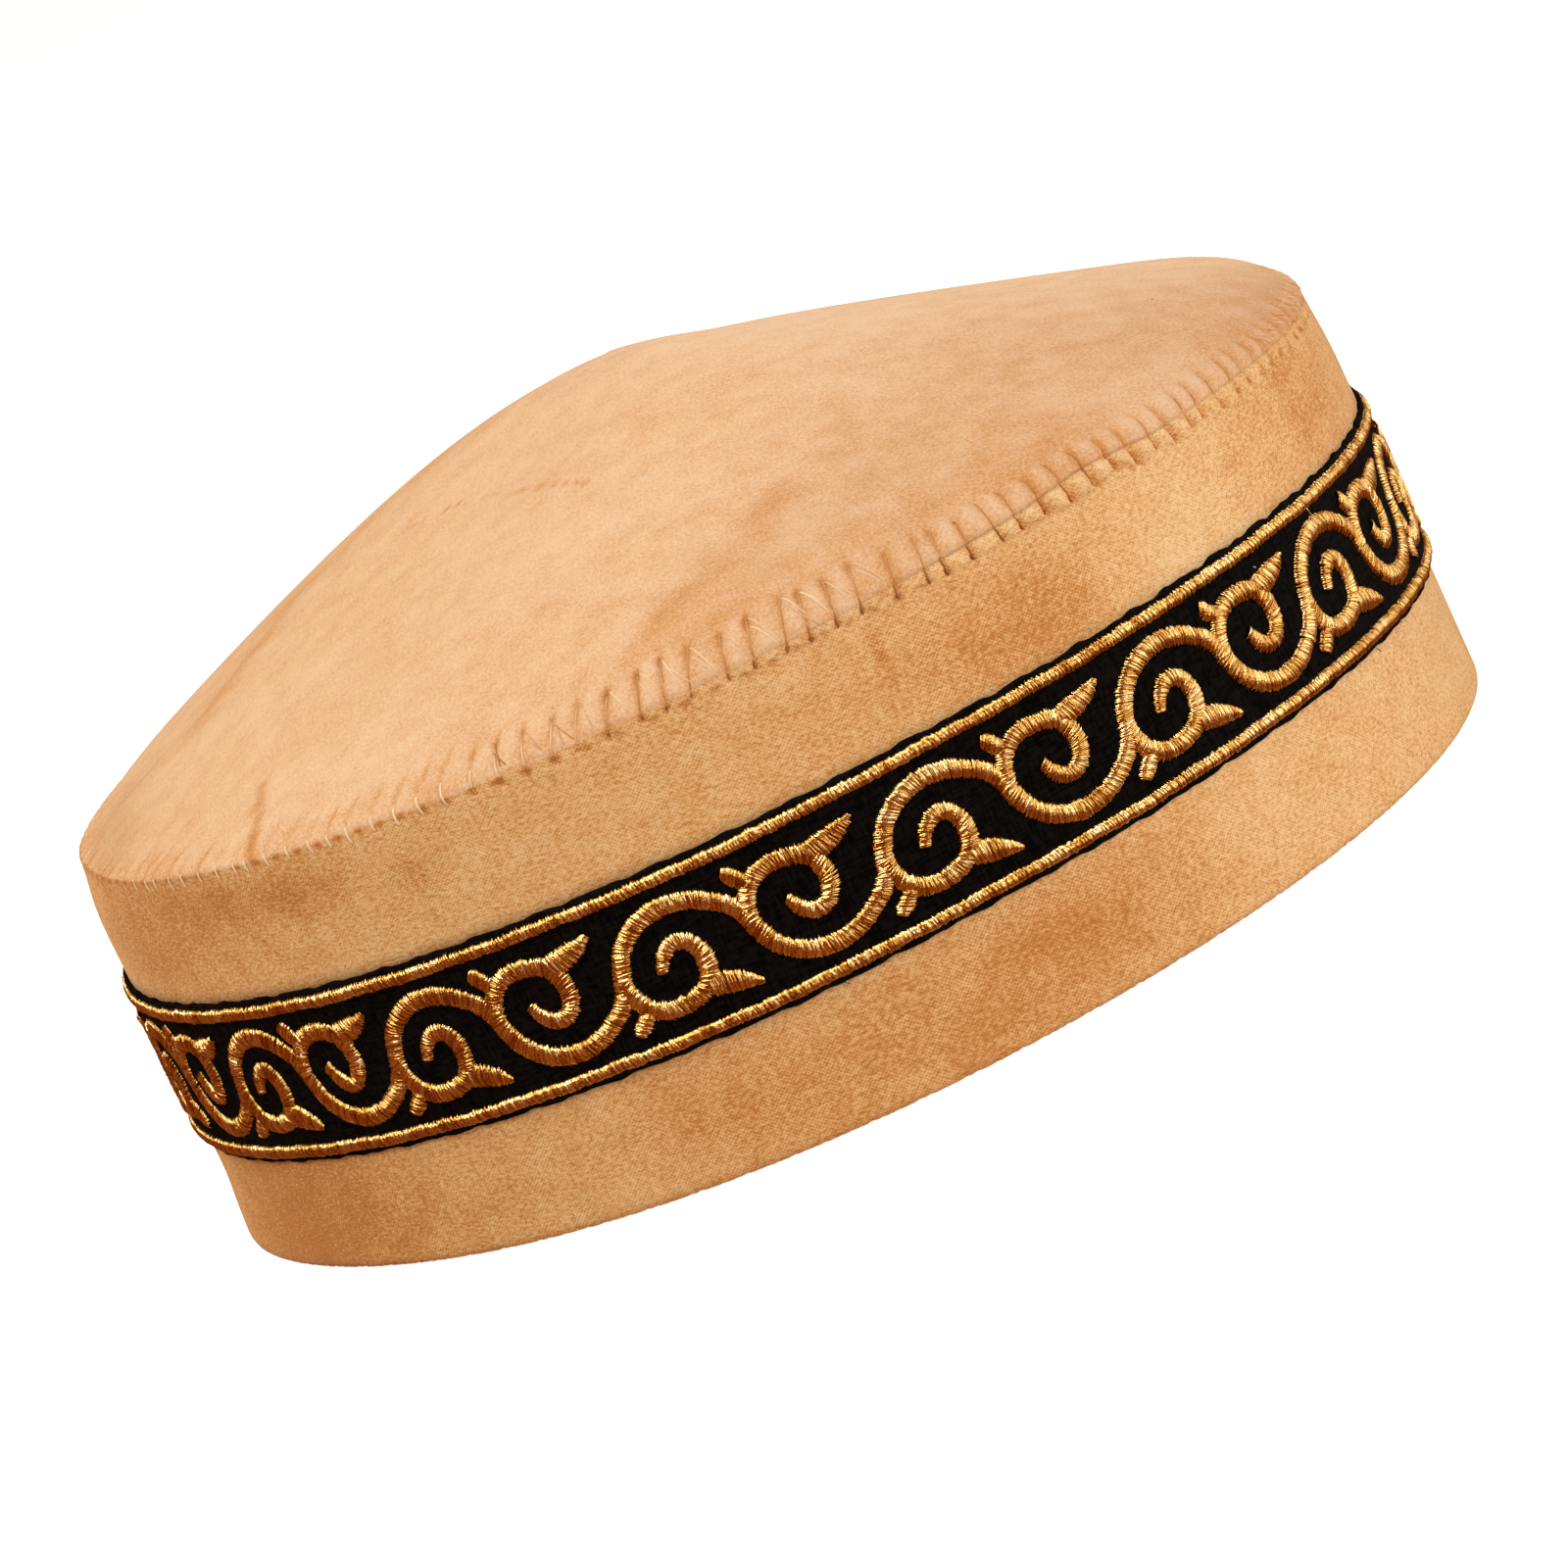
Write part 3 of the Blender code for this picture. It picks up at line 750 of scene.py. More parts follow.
class NodeBoard:
    """Node tree of one material, filled with short calls."""

    def __init__(self, name: str) -> None:
        """Start a material with its plain shader.

        Args:
            name: name of the material.
        """
        self.material = bpy.data.materials.new(name)
        self.material.use_nodes = True
        self.tree = self.material.node_tree
        self.shader = self.tree.nodes["Principled BSDF"]

    def put(self, target: Socket, value: object) -> None:
        """Join a socket to another socket, or give it a fixed value."""
        if isinstance(value, Socket):
            self.tree.links.new(value, target)
        else:
            target.default_value = value

    def node(self, kind: str, inputs: dict, **settings: object) -> bpy.types.Node:
        """Add a node.

        Args:
            kind: the node's type, without its common first word.
            inputs: value or source of each input, by name or number.
            settings: properties of the node itself.

        Returns:
            The new node.
        """
        made = self.tree.nodes.new("ShaderNode" + kind)
        for key, value in settings.items():
            setattr(made, key, value)
        for key, value in inputs.items():
            self.put(made.inputs[key], value)
        return made

    def object_place(self) -> Socket:
        """Place on the piece, in metres."""
        return self.node("TexCoord", {}).outputs["Object"]

    def attribute(self, name: str) -> Socket:
        """Number that the mesh carries at each vertex."""
        return self.node("Attribute", {}, attribute_name=name).outputs["Fac"]

    def noise(self, place: Socket, scale: float | Colour, detail: float = 2.0) -> Socket:
        """Soft noise round 0.5.

        Args:
            place: where the noise is read.
            scale: grains in a metre, one number or one for each axis.
            detail: how many finer layers it has.

        Returns:
            The noise's value.
        """
        axes = scale if isinstance(scale, tuple) else (scale, scale, scale)
        spread = self.node("Mapping", {"Vector": place, "Scale": axes})
        inputs = {"Vector": spread.outputs[0], "Scale": 1.0, "Detail": detail}
        return self.node("TexNoise", inputs).outputs["Fac"]

    def mix_sum(self, start: float, parts: list[tuple[Socket, float]]) -> Socket:
        """Weighted sum: the start, plus each part times its weight."""
        total: Socket | float = start
        for part, weight in parts:
            inputs = {0: part, 1: weight, 2: total}
            total = self.node("Math", inputs, operation="MULTIPLY_ADD").outputs[0]
        return total

    def ramp(self, factor: Socket, stops: list[tuple[float, Colour]]) -> Socket:
        """Colour that runs through the stops as the factor rises."""
        made = self.node("ValToRGB", {"Fac": factor})
        points = made.color_ramp.elements
        while len(points) < len(stops):
            points.new(0.5)
        for point, (position, colour) in zip(points, stops):
            point.position = position
            point.color = (*colour, 1.0)
        return made.outputs["Color"]

    def bump(self, height: Socket, depth: float, strength: float) -> None:
        """Drive the shader's normal with a height."""
        inputs = {"Height": height, "Distance": depth, "Strength": strength}
        self.put(self.shader.inputs["Normal"], self.node("Bump", inputs).outputs[0])

    def finish(self, values: dict) -> bpy.types.Material:
        """Set the shader's own sockets and hand over the material."""
        for key, value in values.items():
            self.put(self.shader.inputs[key], value)
        return self.material


# --------------------------------------------------------------------------------------
# Finishes
# --------------------------------------------------------------------------------------


class Grain(Enum):
    """How the pile of a velvet lies: noise grains in a metre along x, y and z."""

    ROUND = (2500.0, 2500.0, 2500.0)
    LEVEL = (1500.0, 1500.0, 3000.0)


@dataclass(frozen=True)
class VelvetFinish:
    """Short tan velvet, darker here and there from brushed pile and painted shade."""

    name: str
    grain: Grain
    # colour of the deepest painted shade
    deep_shade: Colour = (0.260, 0.085, 0.022)
    rust: Colour = (0.560, 0.205, 0.045)
    deep: Colour = (0.720, 0.310, 0.090)
    middle: Colour = (0.880, 0.500, 0.210)
    light: Colour = (0.980, 0.670, 0.360)
    grain_share: float = 1.35
    patch: Place = (210.0, 0.32)         # soft patches: grains in a metre and share
    drift: Place = (28.0, 0.22)          # the same for a slow drift
    nap_and_shade_share: float = 0.30              # how much the brushed pile and the painted shade darken it
    relief: float = 0.00025
    wales: float = 0.0                   # how clearly the woven rows show through the pile
    wale_count: Place = (960.0, 11500.0)        # for each radian round, and each metre up
    wale_bend: Place = (6.0, 5.0)        # how far the patches bend them, round and up
    sheen: float = 0.35

    def make(self) -> bpy.types.Material:
        """Build the material."""
        board = NodeBoard(self.name)
        place = board.object_place()
        grain = board.noise(place, self.grain.value, 3.0)
        patch = board.noise(place, self.patch[0], 2.0)
        drift = board.noise(place, self.drift[0], 1.0)
        nap = board.attribute("nap")
        parts = [(grain, self.grain_share), (patch, self.patch[1]), (drift, self.drift[1])]
        tone_start = 0.5 - 0.5 * sum(share for _, share in parts)
        parts.append((nap, -self.nap_and_shade_share))
        if self.wales:
            parts.append((self.rows(board, place, patch), self.wales))
        tone = board.mix_sum(tone_start, parts)
        stops = [(0.0, self.rust), (0.24, self.deep), (0.5, self.middle), (0.8, self.light)]
        board.bump(grain, self.relief, 0.70)
        pile = board.ramp(tone, stops)
        # painted shade mixes the pile towards its deepest colour here
        inputs = {0: board.attribute("painted_dark"), 6: pile, 7: (*self.deep_shade, 1.0)}
        mixed = board.node("Mix", inputs, data_type="RGBA").outputs[2]
        return board.finish({
            "Base Color": mixed,
            "Roughness": 0.92,
            "Specular IOR Level": 0.15,
            "Sheen Weight": self.sheen,
            "Sheen Roughness": 0.45,
            "Sheen Tint": (1.0, 0.86, 0.68, 1.0),
        })

    def rows(self, board: NodeBoard, place: Socket, patch: Socket) -> Socket:
        """Faint lattice of woven rows, clearer in some patches than in others.

        Args:
            board: node board of the velvet.
            place: place on the piece.
            patch: soft noise that bends the rows and hides some of them.

        Returns:
            The lattice's value, round 0.
        """
        split = board.node("SeparateXYZ", {0: place}).outputs
        turn = board.node("Math", {0: split[1], 1: split[0]}, operation="ARCTAN2").outputs[0]
        rows = patch
        for way, count, bend in zip((turn, split[2]), self.wale_count, self.wale_bend):
            phase = board.mix_sum(0.0, [(way, count), (patch, bend)])
            wave = board.node("Math", {0: phase}, operation="SINE").outputs[0]
            rows = board.node("Math", {0: rows, 1: wave}, operation="MULTIPLY").outputs[0]
        return rows


# the crown's pile is paler than the band's: partly pile that lies another way, partly painted light
# and sheen of its lit top
CROWN_PILE = VelvetFinish(
    "crown_velvet_pile",
    Grain.ROUND,
    middle=(0.890, 0.537, 0.300),
    light=(0.990, 0.733, 0.498),
    grain_share=0.7,
    relief=0.00012,
)
BAND_PILE = VelvetFinish("band_velvet_pile", Grain.LEVEL, wales=0.34, sheen=0.18)


@dataclass(frozen=True)
class RibbonFinish:
    """Closely woven black ribbon: fine ribs across it and a soft cloth sheen."""

    name: str = "black_ribbon_weave"
    rib_count: float = 2400.0
    dark: Colour = (0.002, 0.0016, 0.0014)
    worn: Colour = (0.008, 0.0060, 0.0050)

    def make(self) -> bpy.types.Material:
        """Build the material."""
        board = NodeBoard(self.name)
        place = board.object_place()
        along = board.noise(place, (500.0, 500.0, self.rib_count), 1.0)
        across = board.noise(place, (self.rib_count, self.rib_count, 500.0), 1.0)
        weave = board.mix_sum(0.0, [(along, 0.5), (across, 0.5)])
        board.bump(weave, 0.00012, 0.6)
        return board.finish({
            "Base Color": board.ramp(weave, [(0.40, self.dark), (0.62, self.worn)]),
            "Roughness": 0.85,
            "Specular IOR Level": 0.02,
        })


@dataclass(frozen=True)
class GoldThreadFinish:
    """Metallic gold thread: amber in the shade, pale where it catches the light."""

    name: str
    shaded: Colour = (0.460, 0.200, 0.030)
    body: Colour = (0.870, 0.560, 0.160)
    bright: Colour = (1.000, 0.880, 0.500)
    roughness: float = 0.20

    def make(self) -> bpy.types.Material:
        """Build the material."""
        board = NodeBoard(self.name)
        tone = board.attribute("tone")
        glint = board.noise(board.object_place(), 3600.0, 2.0)
        factor = board.mix_sum(-0.42, [(tone, 0.9), (glint, 0.90)])
        stops = [(0.10, self.shaded), (0.50, self.body), (0.90, self.bright)]
        board.bump(glint, 0.00010, 0.7)
        return board.finish({
            "Base Color": board.ramp(factor, stops),
            "Metallic": 1.0,
            "Roughness": self.roughness,
        })


@dataclass(frozen=True)
class SewingThreadFinish:
    """Tan cotton thread with a slight shine, drawn into the velvet."""

    name: str = "tan_sewing_thread"
    dark: Colour = (0.300, 0.105, 0.030)
    dull: Colour = (0.640, 0.290, 0.100)
    pale: Colour = (1.000, 0.780, 0.510)

    def make(self) -> bpy.types.Material:
        """Build the material."""
        board = NodeBoard(self.name)
        tone = board.attribute("tone")
        twist = board.noise(board.object_place(), 3200.0, 1.0)
        factor = board.mix_sum(-0.10, [(tone, 1.0), (twist, 0.20)])
        board.bump(twist, 0.00005, 0.5)
        stops = [(0.0, self.dark), (0.45, self.dull), (1.0, self.pale)]
        return board.finish({
            "Base Color": board.ramp(factor, stops),
            "Roughness": 0.80,
            "Specular IOR Level": 0.2,
        })


@dataclass(frozen=True)
class FloorFinish:
    """Plain pale studio floor, lit a little from below like a light table."""

    name: str = "pale_floor"
    colour: Colour = (0.93, 0.93, 0.93)
    glow: float = 0.85

    def make(self) -> bpy.types.Material:
        """Build the material."""
        board = NodeBoard(self.name)
        return board.finish({
            "Base Color": (*self.colour, 1.0),
            "Roughness": 0.9,
            "Emission Color": (0.94, 0.98, 1.0, 1.0),
            "Emission Strength": self.glow,
        })


# --------------------------------------------------------------------------------------
# Velvet pieces
# --------------------------------------------------------------------------------------


@dataclass(frozen=True)
class Crown:
    """Pointed velvet crown with a turned-down, puckered edge."""

    skin: VelvetSkin
    finish: bpy.types.Material
    marks: tuple[Mark, ...]
    wall: float = 0.0020
    fine_steps: int = 1470
    coarse_steps: int = 735
    coarse_reach: float = 0.0850         # from the point out to where the fine rings start
    fine_rows: tuple[float, ...] = (
        0.0, 0.00002, 0.00018, 0.0004, 0.0007, 0.0010, 0.0014, 0.0018, 0.0022, 0.0026, 0.0031,
        0.0036, 0.0041, 0.0046, 0.0051, 0.0056, 0.0062, 0.0072,
    )
    coarse_spacing: float = 0.00125
    inner_rows: int = 9
    # how the edge turns under: shares of the radius, and codes as the pattern has them
    turned_under: tuple[Place, ...] = ((0.985, -0.5), (0.975, -1.0), (0.95, -1.0), (0.93, -1.0))
    edge_lift: float = 0.1 * MM          # the inner face stays twice this far over the seam

    def pattern(self) -> bpy.types.Mesh:
        """Closed shell in pattern space: radius as a share of 93 mm, height as a code.

        The outer face has code 1, the upright edge codes from 1 to 0, and the inner face -1.
        """
        size = self.skin.form.band_radius
        shares = np.arange(0.0, self.coarse_reach, self.coarse_spacing) / size
        inner = np.linspace(0.0, self.coarse_reach / size, self.inner_rows)
        bm = bmesh.new()
        MeshMaker.lathe(bm, [(s, 1.0) for s in shares], self.coarse_steps)
        MeshMaker.lathe(bm, [(s, -1.0) for s in inner], self.coarse_steps)
        edge = []
        for way in reversed(self.fine_rows):
            if way > self.skin.skirt:
                edge.append((1.0 - (way - self.skin.skirt) / size, 1.0))
            else:
                edge.append((1.0, way / self.skin.skirt))
        MeshMaker.lathe(bm, edge + list(self.turned_under), self.fine_steps)
        bmesh.ops.remove_doubles(bm, verts=bm.verts, dist=MERGE)
        rims = [e for e in bm.edges if e.is_boundary]
        for side in (1.0, -1.0):
            facing = [e for e in rims if e.verts[0].co.z * side > 0.9]
            bmesh.ops.bridge_loops(bm, edges=facing)
        return MeshMaker.close(bm, "crown")

    def build(self) -> bpy.types.Object:
        """Fit the pattern to the head and sink the seam into it."""
        mesh = self.pattern()
        spread = MeshMaker.points(mesh)
        form, skin = self.skin.form, self.skin
        angle = np.arctan2(spread[:, 1], spread[:, 0])
        share = np.minimum(np.hypot(spread[:, 0], spread[:, 1]), 1.0)
        code = spread[:, 2]
        outer = code > -0.25
        sloping = skin.skirt + (1.0 - share) * form.radius(angle)
        way = np.where(share < 0.99999, sloping, skin.skirt * np.clip(code, 0.0, 1.0))
        placed = skin.point(angle, way, np.zeros(len(way)))
        smooth = skin.base(angle, way)
        sunk = form.draw(angle, way) + form.sink(way, smooth[:, 0], smooth[:, 1])
        smooth = smooth - skin.normal(angle, way) * (self.wall + sunk)[:, None]
        floor = form.seam(angle) + skin.crease_height(angle)
        smooth[:, 2] = np.maximum(smooth[:, 2], floor + self.edge_lift * (1.0 - code))
        placed = np.where(outer[:, None], placed, smooth)
        MeshMaker.move(mesh, placed)
        # the stitches, folds and marks lay painted shade on the crown, with some brushed pile
        nap, painted_dark = skin.shades(angle, way)
        for mark in self.marks:
            nap += mark.shade * mark.strength(placed)
            painted_dark += mark.painted_dark * mark.strength(placed) * outer
        MeshMaker.value(mesh, "nap", nap)
        MeshMaker.value(mesh, "painted_dark", painted_dark)
        return MeshMaker.piece("crown_velvet", mesh, self.finish, "crown_velvet", ("crown",))


@dataclass(frozen=True)
class SideBand:
    """Upright velvet band with a soft turned hem and a dip under the ribbon."""

    skin: VelvetSkin
    finish: bpy.types.Material
    wall: float = 0.0024
    steps: int = 1470
    hem_round: float = 0.0012
    recess: float = 0.0006
    recess_margin: float = -0.0004       # the recess ends behind the ribbon's edges
    recess_step: Place = (0.1 * MM, 0.2 * MM)   # its slope reaches this far out of it and in
    hem_flare: Row = (0.0009, 188.0, 17.0)      # it stands out: how far, where, how wide
    hem_flare_top: float = 0.013
    hem_fray: float = 0.00006
    hem_fray_top: float = 0.0015
    hem_fray_waves: tuple[Row, ...] = ((1.0, 171.0, 0.0), (1.0, 263.0, 1.0), (1.0, 97.0, 2.0))
    # heights over which the wall turns from level to the ribbon's run, then to the seam's
    ribbon_blend: Place = (0.004, 0.001)        # from the floor, and under the ribbon
    seam_blend: Place = (0.002, 0.004)          # over the ribbon, and under the seam
    slack: float = 0.00015               # slow swell of the wall, in waves round it and up it
    slack_round: Row = (1.0, 5.0, 0.7)
    slack_up: Row = (1.0, 70.0, 0.0)
    slack_low: float = 0.01              # below this it dies away
    recess_rows: int = 4
    lower_rows: int = 8
    inner_rows: int = 7
    seam_zone: float = 0.006             # the stitches' painted shade reaches no further than this below them
    seam_rows: tuple[float, ...] = (
        0.00002, 0.00005, 0.00022, 0.0005, 0.0008, 0.0012, 0.0016, 0.0020, 0.0024, 0.0028, 0.0033,
        0.0040, 0.0052, 0.0068, 0.0088, 0.0110, 0.0132, 0.0150,
    )
    # patches of brushed pile, stains and painted shade: degrees round, height, reach round and up,
    # how dark
    patches: tuple[tuple[float, float, float, float, float], ...] = (
        (200.0, 0.05, 13.0, 0.012, 1.05), (216.0, 0.0545, 8.0, 0.0036, 0.8),
        (228.0, 0.054, 6.0, 0.003, 0.7), (239.5, 0.0515, 2.6, 0.0026, 0.8),
        (236.0, 0.047, 3.0, 0.002, 0.3), (225.0, 0.0482, 6.0, 0.0016, -0.5),
        (236.0, 0.049, 3.0, 0.001, -0.4), (203.0, 0.006, 20.0, 0.022, 1.65),
        (225.0, 0.05, 9.0, 0.007, 0.55), (262.0, 0.008, 13.0, 0.008, 0.58),
        (283.0, 0.05, 11.0, 0.008, 0.45), (286.0, 0.009, 14.0, 0.012, 0.88),
        (297.0, 0.049, 5.0, 0.006, 0.45), (311.0, 0.05, 7.0, 0.007, -0.32),
        (307.0, 0.01, 7.0, 0.008, -0.35), (335.0, 0.05, 10.0, 0.009, 0.6),
        (317.6, 0.0504, 1.6, 0.0007, 1.6), (309.0, 0.044, 4.0, 0.003, -0.3),
        (281.0, 0.0545, 0.45, 0.0026, 1.2), (292.0, 0.047, 7.0, 0.005, 0.5),
        (286.0, 0.012, 8.0, 0.005, 0.2), (330.0, 0.056, 5.0, 0.0016, 0.4),
    )

    def profile(self) -> list[Place]:
        """Closed outline of the wall: distance off the outline and height, from the top."""
        form, wall, turn = self.skin.form, self.wall, self.hem_round
        low, high = form.ribbon_low - self.recess_margin, form.ribbon_high + self.recess_margin
        beyond, inside = self.recess_step
        rows = [(0.0, form.seam_height - way) for way in self.seam_rows]
        rows += [(0.0, high + beyond), (-self.recess, high - inside)]
        middle = np.linspace(high - 4 * MM, low + 4 * MM, self.recess_rows)
        rows += [(-self.recess, z) for z in middle]
        rows += [(-self.recess, low + inside), (0.0, low - beyond)]
        lower = np.linspace(low - 1.6 * MM, turn + 1.0 * MM, self.lower_rows)
        rows += [(0.0, z) for z in lower]
        bends = [math.radians(degrees) for degrees in (0.0, 30.0, 60.0, 90.0)]
        hem = [(turn * (1.0 - math.cos(bend)), turn * (1.0 - math.sin(bend))) for bend in bends]
        rows += [(-inward, z) for inward, z in hem]
        rows += [(inward - wall, z) for inward, z in hem[-2::-1]]
        top = form.seam_height - 0.1 * MM
        inner = np.linspace(0.006, form.seam_height - 0.004, self.inner_rows)
        rows += [(-wall, z) for z in inner]
        return rows + [(-wall, top), (-0.5 * wall, top)]

    def build(self) -> bpy.types.Object:
        """Roll the wall, then fit it to the head, the ribbon and the seam."""
        form, skin = self.skin.form, self.skin
        mesh, angle, out, height = MeshMaker.ring(
            "side_band", self.profile(), form.band_radius, self.steps
        )
        over_floor, under_ribbon = self.ribbon_blend
        over_ribbon, under_seam = self.seam_blend
        with_ribbon = step_up(height, over_floor, form.ribbon_low - under_ribbon)
        with_seam = step_up(height, form.ribbon_high + over_ribbon, form.seam_height - under_seam)
        seam_rise = form.seam(angle) - form.seam_height + skin.crease_height(angle)
        rise = with_ribbon * (1.0 - with_seam) * form.ribbon_rise(angle) + with_seam * seam_rise
        level = height + rise
        way = np.minimum(level - form.seam(angle) - skin.crease_height(angle), -1e-5)
        placed = form.wall(angle, out + self.flare(angle, height), level + self.fray(angle, height))
        outward = np.stack((np.cos(angle), np.sin(angle), 0.0 * angle), axis=-1)
        push = skin.stitch_relief(angle, way) * (out > -0.5 * self.wall)
        slack = self.slack * sines((self.slack_round,), angle) * sines((self.slack_up,), height)
        push = push + slack * (out > -self.wall) * step_up(height, 0.0, self.slack_low)
        placed += outward * (push - form.draw(angle, way))[:, None]
        MeshMaker.move(mesh, placed)
        # painted shade of the stitches near the seam joins the band's patches
        warm_shade, painted_dark = skin.shades(angle, way)
        near_seam = way > -self.seam_zone
        MeshMaker.value(mesh, "nap", self.nap(angle, placed[:, 2]) + warm_shade * near_seam)
        MeshMaker.value(mesh, "painted_dark", painted_dark * near_seam)
        return MeshMaker.piece("band_velvet", mesh, self.finish, "band_velvet", ("side_band",))

    def flare(self, angle: np.ndarray, height: np.ndarray) -> np.ndarray:
        """How far the hem stands out, mostly on the left."""
        size, at, wide = self.hem_flare
        flare = size * bell((np.degrees(angle) % 360.0 - at, wide))
        return flare * (1.0 - step_up(height, 0.0, self.hem_flare_top))

    def fray(self, angle: np.ndarray, height: np.ndarray) -> np.ndarray:
        """How far the hem's lower edge is worn up."""
        worn = np.abs(sines(self.hem_fray_waves, angle))
        return self.hem_fray * worn * (1.0 - step_up(height, 0.0, self.hem_fray_top))

    def nap(self, angle: np.ndarray, height: np.ndarray) -> np.ndarray:
        """Patches of brushed pile, stains and painted shade on the band, dark when positive:
        painted shade on the far left, painted light on the right.
        """
        degrees = np.degrees(angle) % 360.0
        return sum(
            shade * bell((degrees - at, wide), (height - level, tall))
            for at, level, wide, tall, shade in self.patches
        )


@dataclass(frozen=True)
class SeamThreads:
    """Overlock threads that hold the crown to the band."""

    skin: VelvetSkin
    finish: bpy.types.Material
    seed: int = 23
    pattern: ThreadPattern = ThreadPattern(sides=5, spans=8)
    bow: float = 0.45                    # how high a thread bows, for its half width
    plump: float = 0.8                   # how thick it is, likewise
    dip_power: int = 8                   # how late its ends dip into the velvet
    tone_turns: tuple[Place, Place] = ((0.0, 0.35), (0.5, 0.92))    # where its tone changes
    overhang: float = 0.00025            # straight threads end this far past their groove
    # tones of the straight threads at their top, middle and foot, the foot dark with painted shade:
    # range, and more where bare
    bar_tones: tuple[Row, ...] = ((0.50, 0.78, 0.45), (0.46, 0.72, 0.55), (0.12, 0.36, 0.60))
    bar_puffed: float = 0.30             # painted shade: how much darker they lie between puffs
    bar_width: Place = (0.000120, 0.000060)     # half their width, and more where bare
    bar_sink: float = 0.00016
    bare_short: float = 0.54             # how much of its length a bare thread lacks
    laced_below: float = 0.6             # no other threads where they lie barer than this
    crossed_below: float = 0.15          # nor slanting ones where the velvet puffs more
    slants: tuple[tuple[str, float, float], ...] = (
        ("seam_slants", 0.96, 0.80), ("seam_strands", 0.66, 0.85),
    )
    slant_hop: Place = (0.62, 0.14)      # hop round, as a share of the pitch, and its stray
    slant_fall_stray: float = 0.15
    # the slanting threads are paler than the straight ones, as painted sheen
    slant_tone: Row = (0.75, 1.10, 0.9)
    slant_ends: Row = (0.80, 1.0, 0.9)
    slant_width: float = 0.000120
    slant_sink: float = 0.00015
    # dark loops at the thread feet; their darkness is painted shadow under each puff's edge
    loop_back: Place = (0.30, 0.62)      # how far back a loop reaches, as shares of the pitch
    loop_rise: Place = (0.2, 0.7)        # and how far up, in millimetres
    loop_tone: Place = (0.16, 0.46)
    loop_ends: Row = (0.7, 1.0, 1.3)
    loop_width: float = 0.000075
    loop_sink: float = 0.00012

    def run(
        self,
        name: str,
        start: np.ndarray,
        end: np.ndarray,
        tone: np.ndarray,
        half_width: np.ndarray | float,
        sink: float,
        bend: np.ndarray | float = 0.0,
        lift_off: float = 0.0,
        slot: str = "crown_velvet",
    ) -> bpy.types.Object:
        """Lay one thread from each start to its end on the skin.

        Args:
            name: name of the piece.
            start: angle and way of each thread's first end.
            end: angle and way of each thread's second end.
            tone: how pale each thread is at its first end, middle and second end.
            half_width: half the width of each thread, or of all of them.
            sink: how deep the two ends go into the velvet.
            bend: turn of each thread, off its straight way, where it crosses the crease.
            lift_off: how far all of them lie above the skin.
            slot: the record's material slot.

        Returns:
            The piece.
        """
        tube, faces = self.pattern.tube()
        side, lift, along = tube.T
        share = 0.5 * (along + 1.0)
        angle = start[:, :1] + (end - start)[:, :1] * share
        way = start[:, 1:] + (end - start)[:, 1:] * share
        reach = np.maximum(np.where(way > 0.0, np.abs(start[:, 1:]), np.abs(end[:, 1:])), 1e-5)
        angle = angle + bend * np.clip(1.0 - np.abs(way) / reach, 0.0, 1.0)
        angle = angle + side * half_width / self.skin.form.band_radius
        bow = lift_off + self.bow * half_width - sink * np.abs(along) ** self.dip_power
        off = np.broadcast_to(bow + self.plump * half_width * lift, way.shape)
        placed = self.skin.point(angle.ravel(), way.ravel(), off.ravel())
        mesh = self.pattern.array(name, placed.reshape(len(start), -1, 3), faces)
        first, middle, last = (tone[:, k : k + 1] for k in range(3))
        early, late = (step_up(share, *turns) for turns in self.tone_turns)
        rest = middle + (last - middle) * late
        shade = np.where(share < 0.5, first + (middle - first) * early, rest)
        MeshMaker.value(mesh, "tone", shade.ravel())
        return MeshMaker.piece(name, mesh, self.finish, slot)

    def build(self) -> list[bpy.types.Object]:
        """Lay the straight threads in their grooves, the slanting ones and the loops."""
        seam = self.skin.seam
        count, pitch = seam.count, FULL_TURN / seam.count
        draw = np.random.default_rng(self.seed)
        upper = np.stack((seam.along(seam.up), seam.up), axis=1)
        low = -seam.down - self.overhang
        lower = np.stack((seam.along(low), low), axis=1)
        bare = round_table(seam.bare, 1, seam.angle)
        bar_tone = np.stack([
            draw.uniform(least, most, count) + more * bare for least, most, more in self.bar_tones
        ], axis=1)
        puffs = round_table(seam.crease, 3, seam.angle)
        bar_tone = bar_tone - self.bar_puffed * np.minimum(puffs, 1.0)[:, None]
        high = low + (seam.up - low) * (1.0 - self.bare_short * bare)
        top = np.stack((seam.along(high), high), axis=1)
        straight = top[:, 0] + (lower[:, 0] - top[:, 0]) * high / (high - low)
        bend = np.where(high > 0.0, seam.angle - straight, 0.0)[:, None]
        width = (self.bar_width[0] + self.bar_width[1] * bare)[:, None]
        bars = self.run("seam_bars", top, lower, bar_tone, width, self.bar_sink, bend)
        laced = bare < self.laced_below
        crossed = laced & (puffs < self.crossed_below)
        slants = [
            self.slant(name, upper[crossed], bare[crossed], share, fall, draw)
            for name, share, fall in self.slants
        ]
        tight = lower[laced]
        back = np.stack((
            tight[:, 0] - pitch * draw.uniform(*self.loop_back, len(tight)),
            tight[:, 1] + draw.uniform(*self.loop_rise, len(tight)) * MM,
        ), axis=1)
        loop_tone = draw.uniform(*self.loop_tone, (len(tight), 1)) * np.array(self.loop_ends)
        loops = self.run("seam_shadow_loops", tight, back, loop_tone, self.loop_width, self.loop_sink)
        return [bars, *slants, loops]

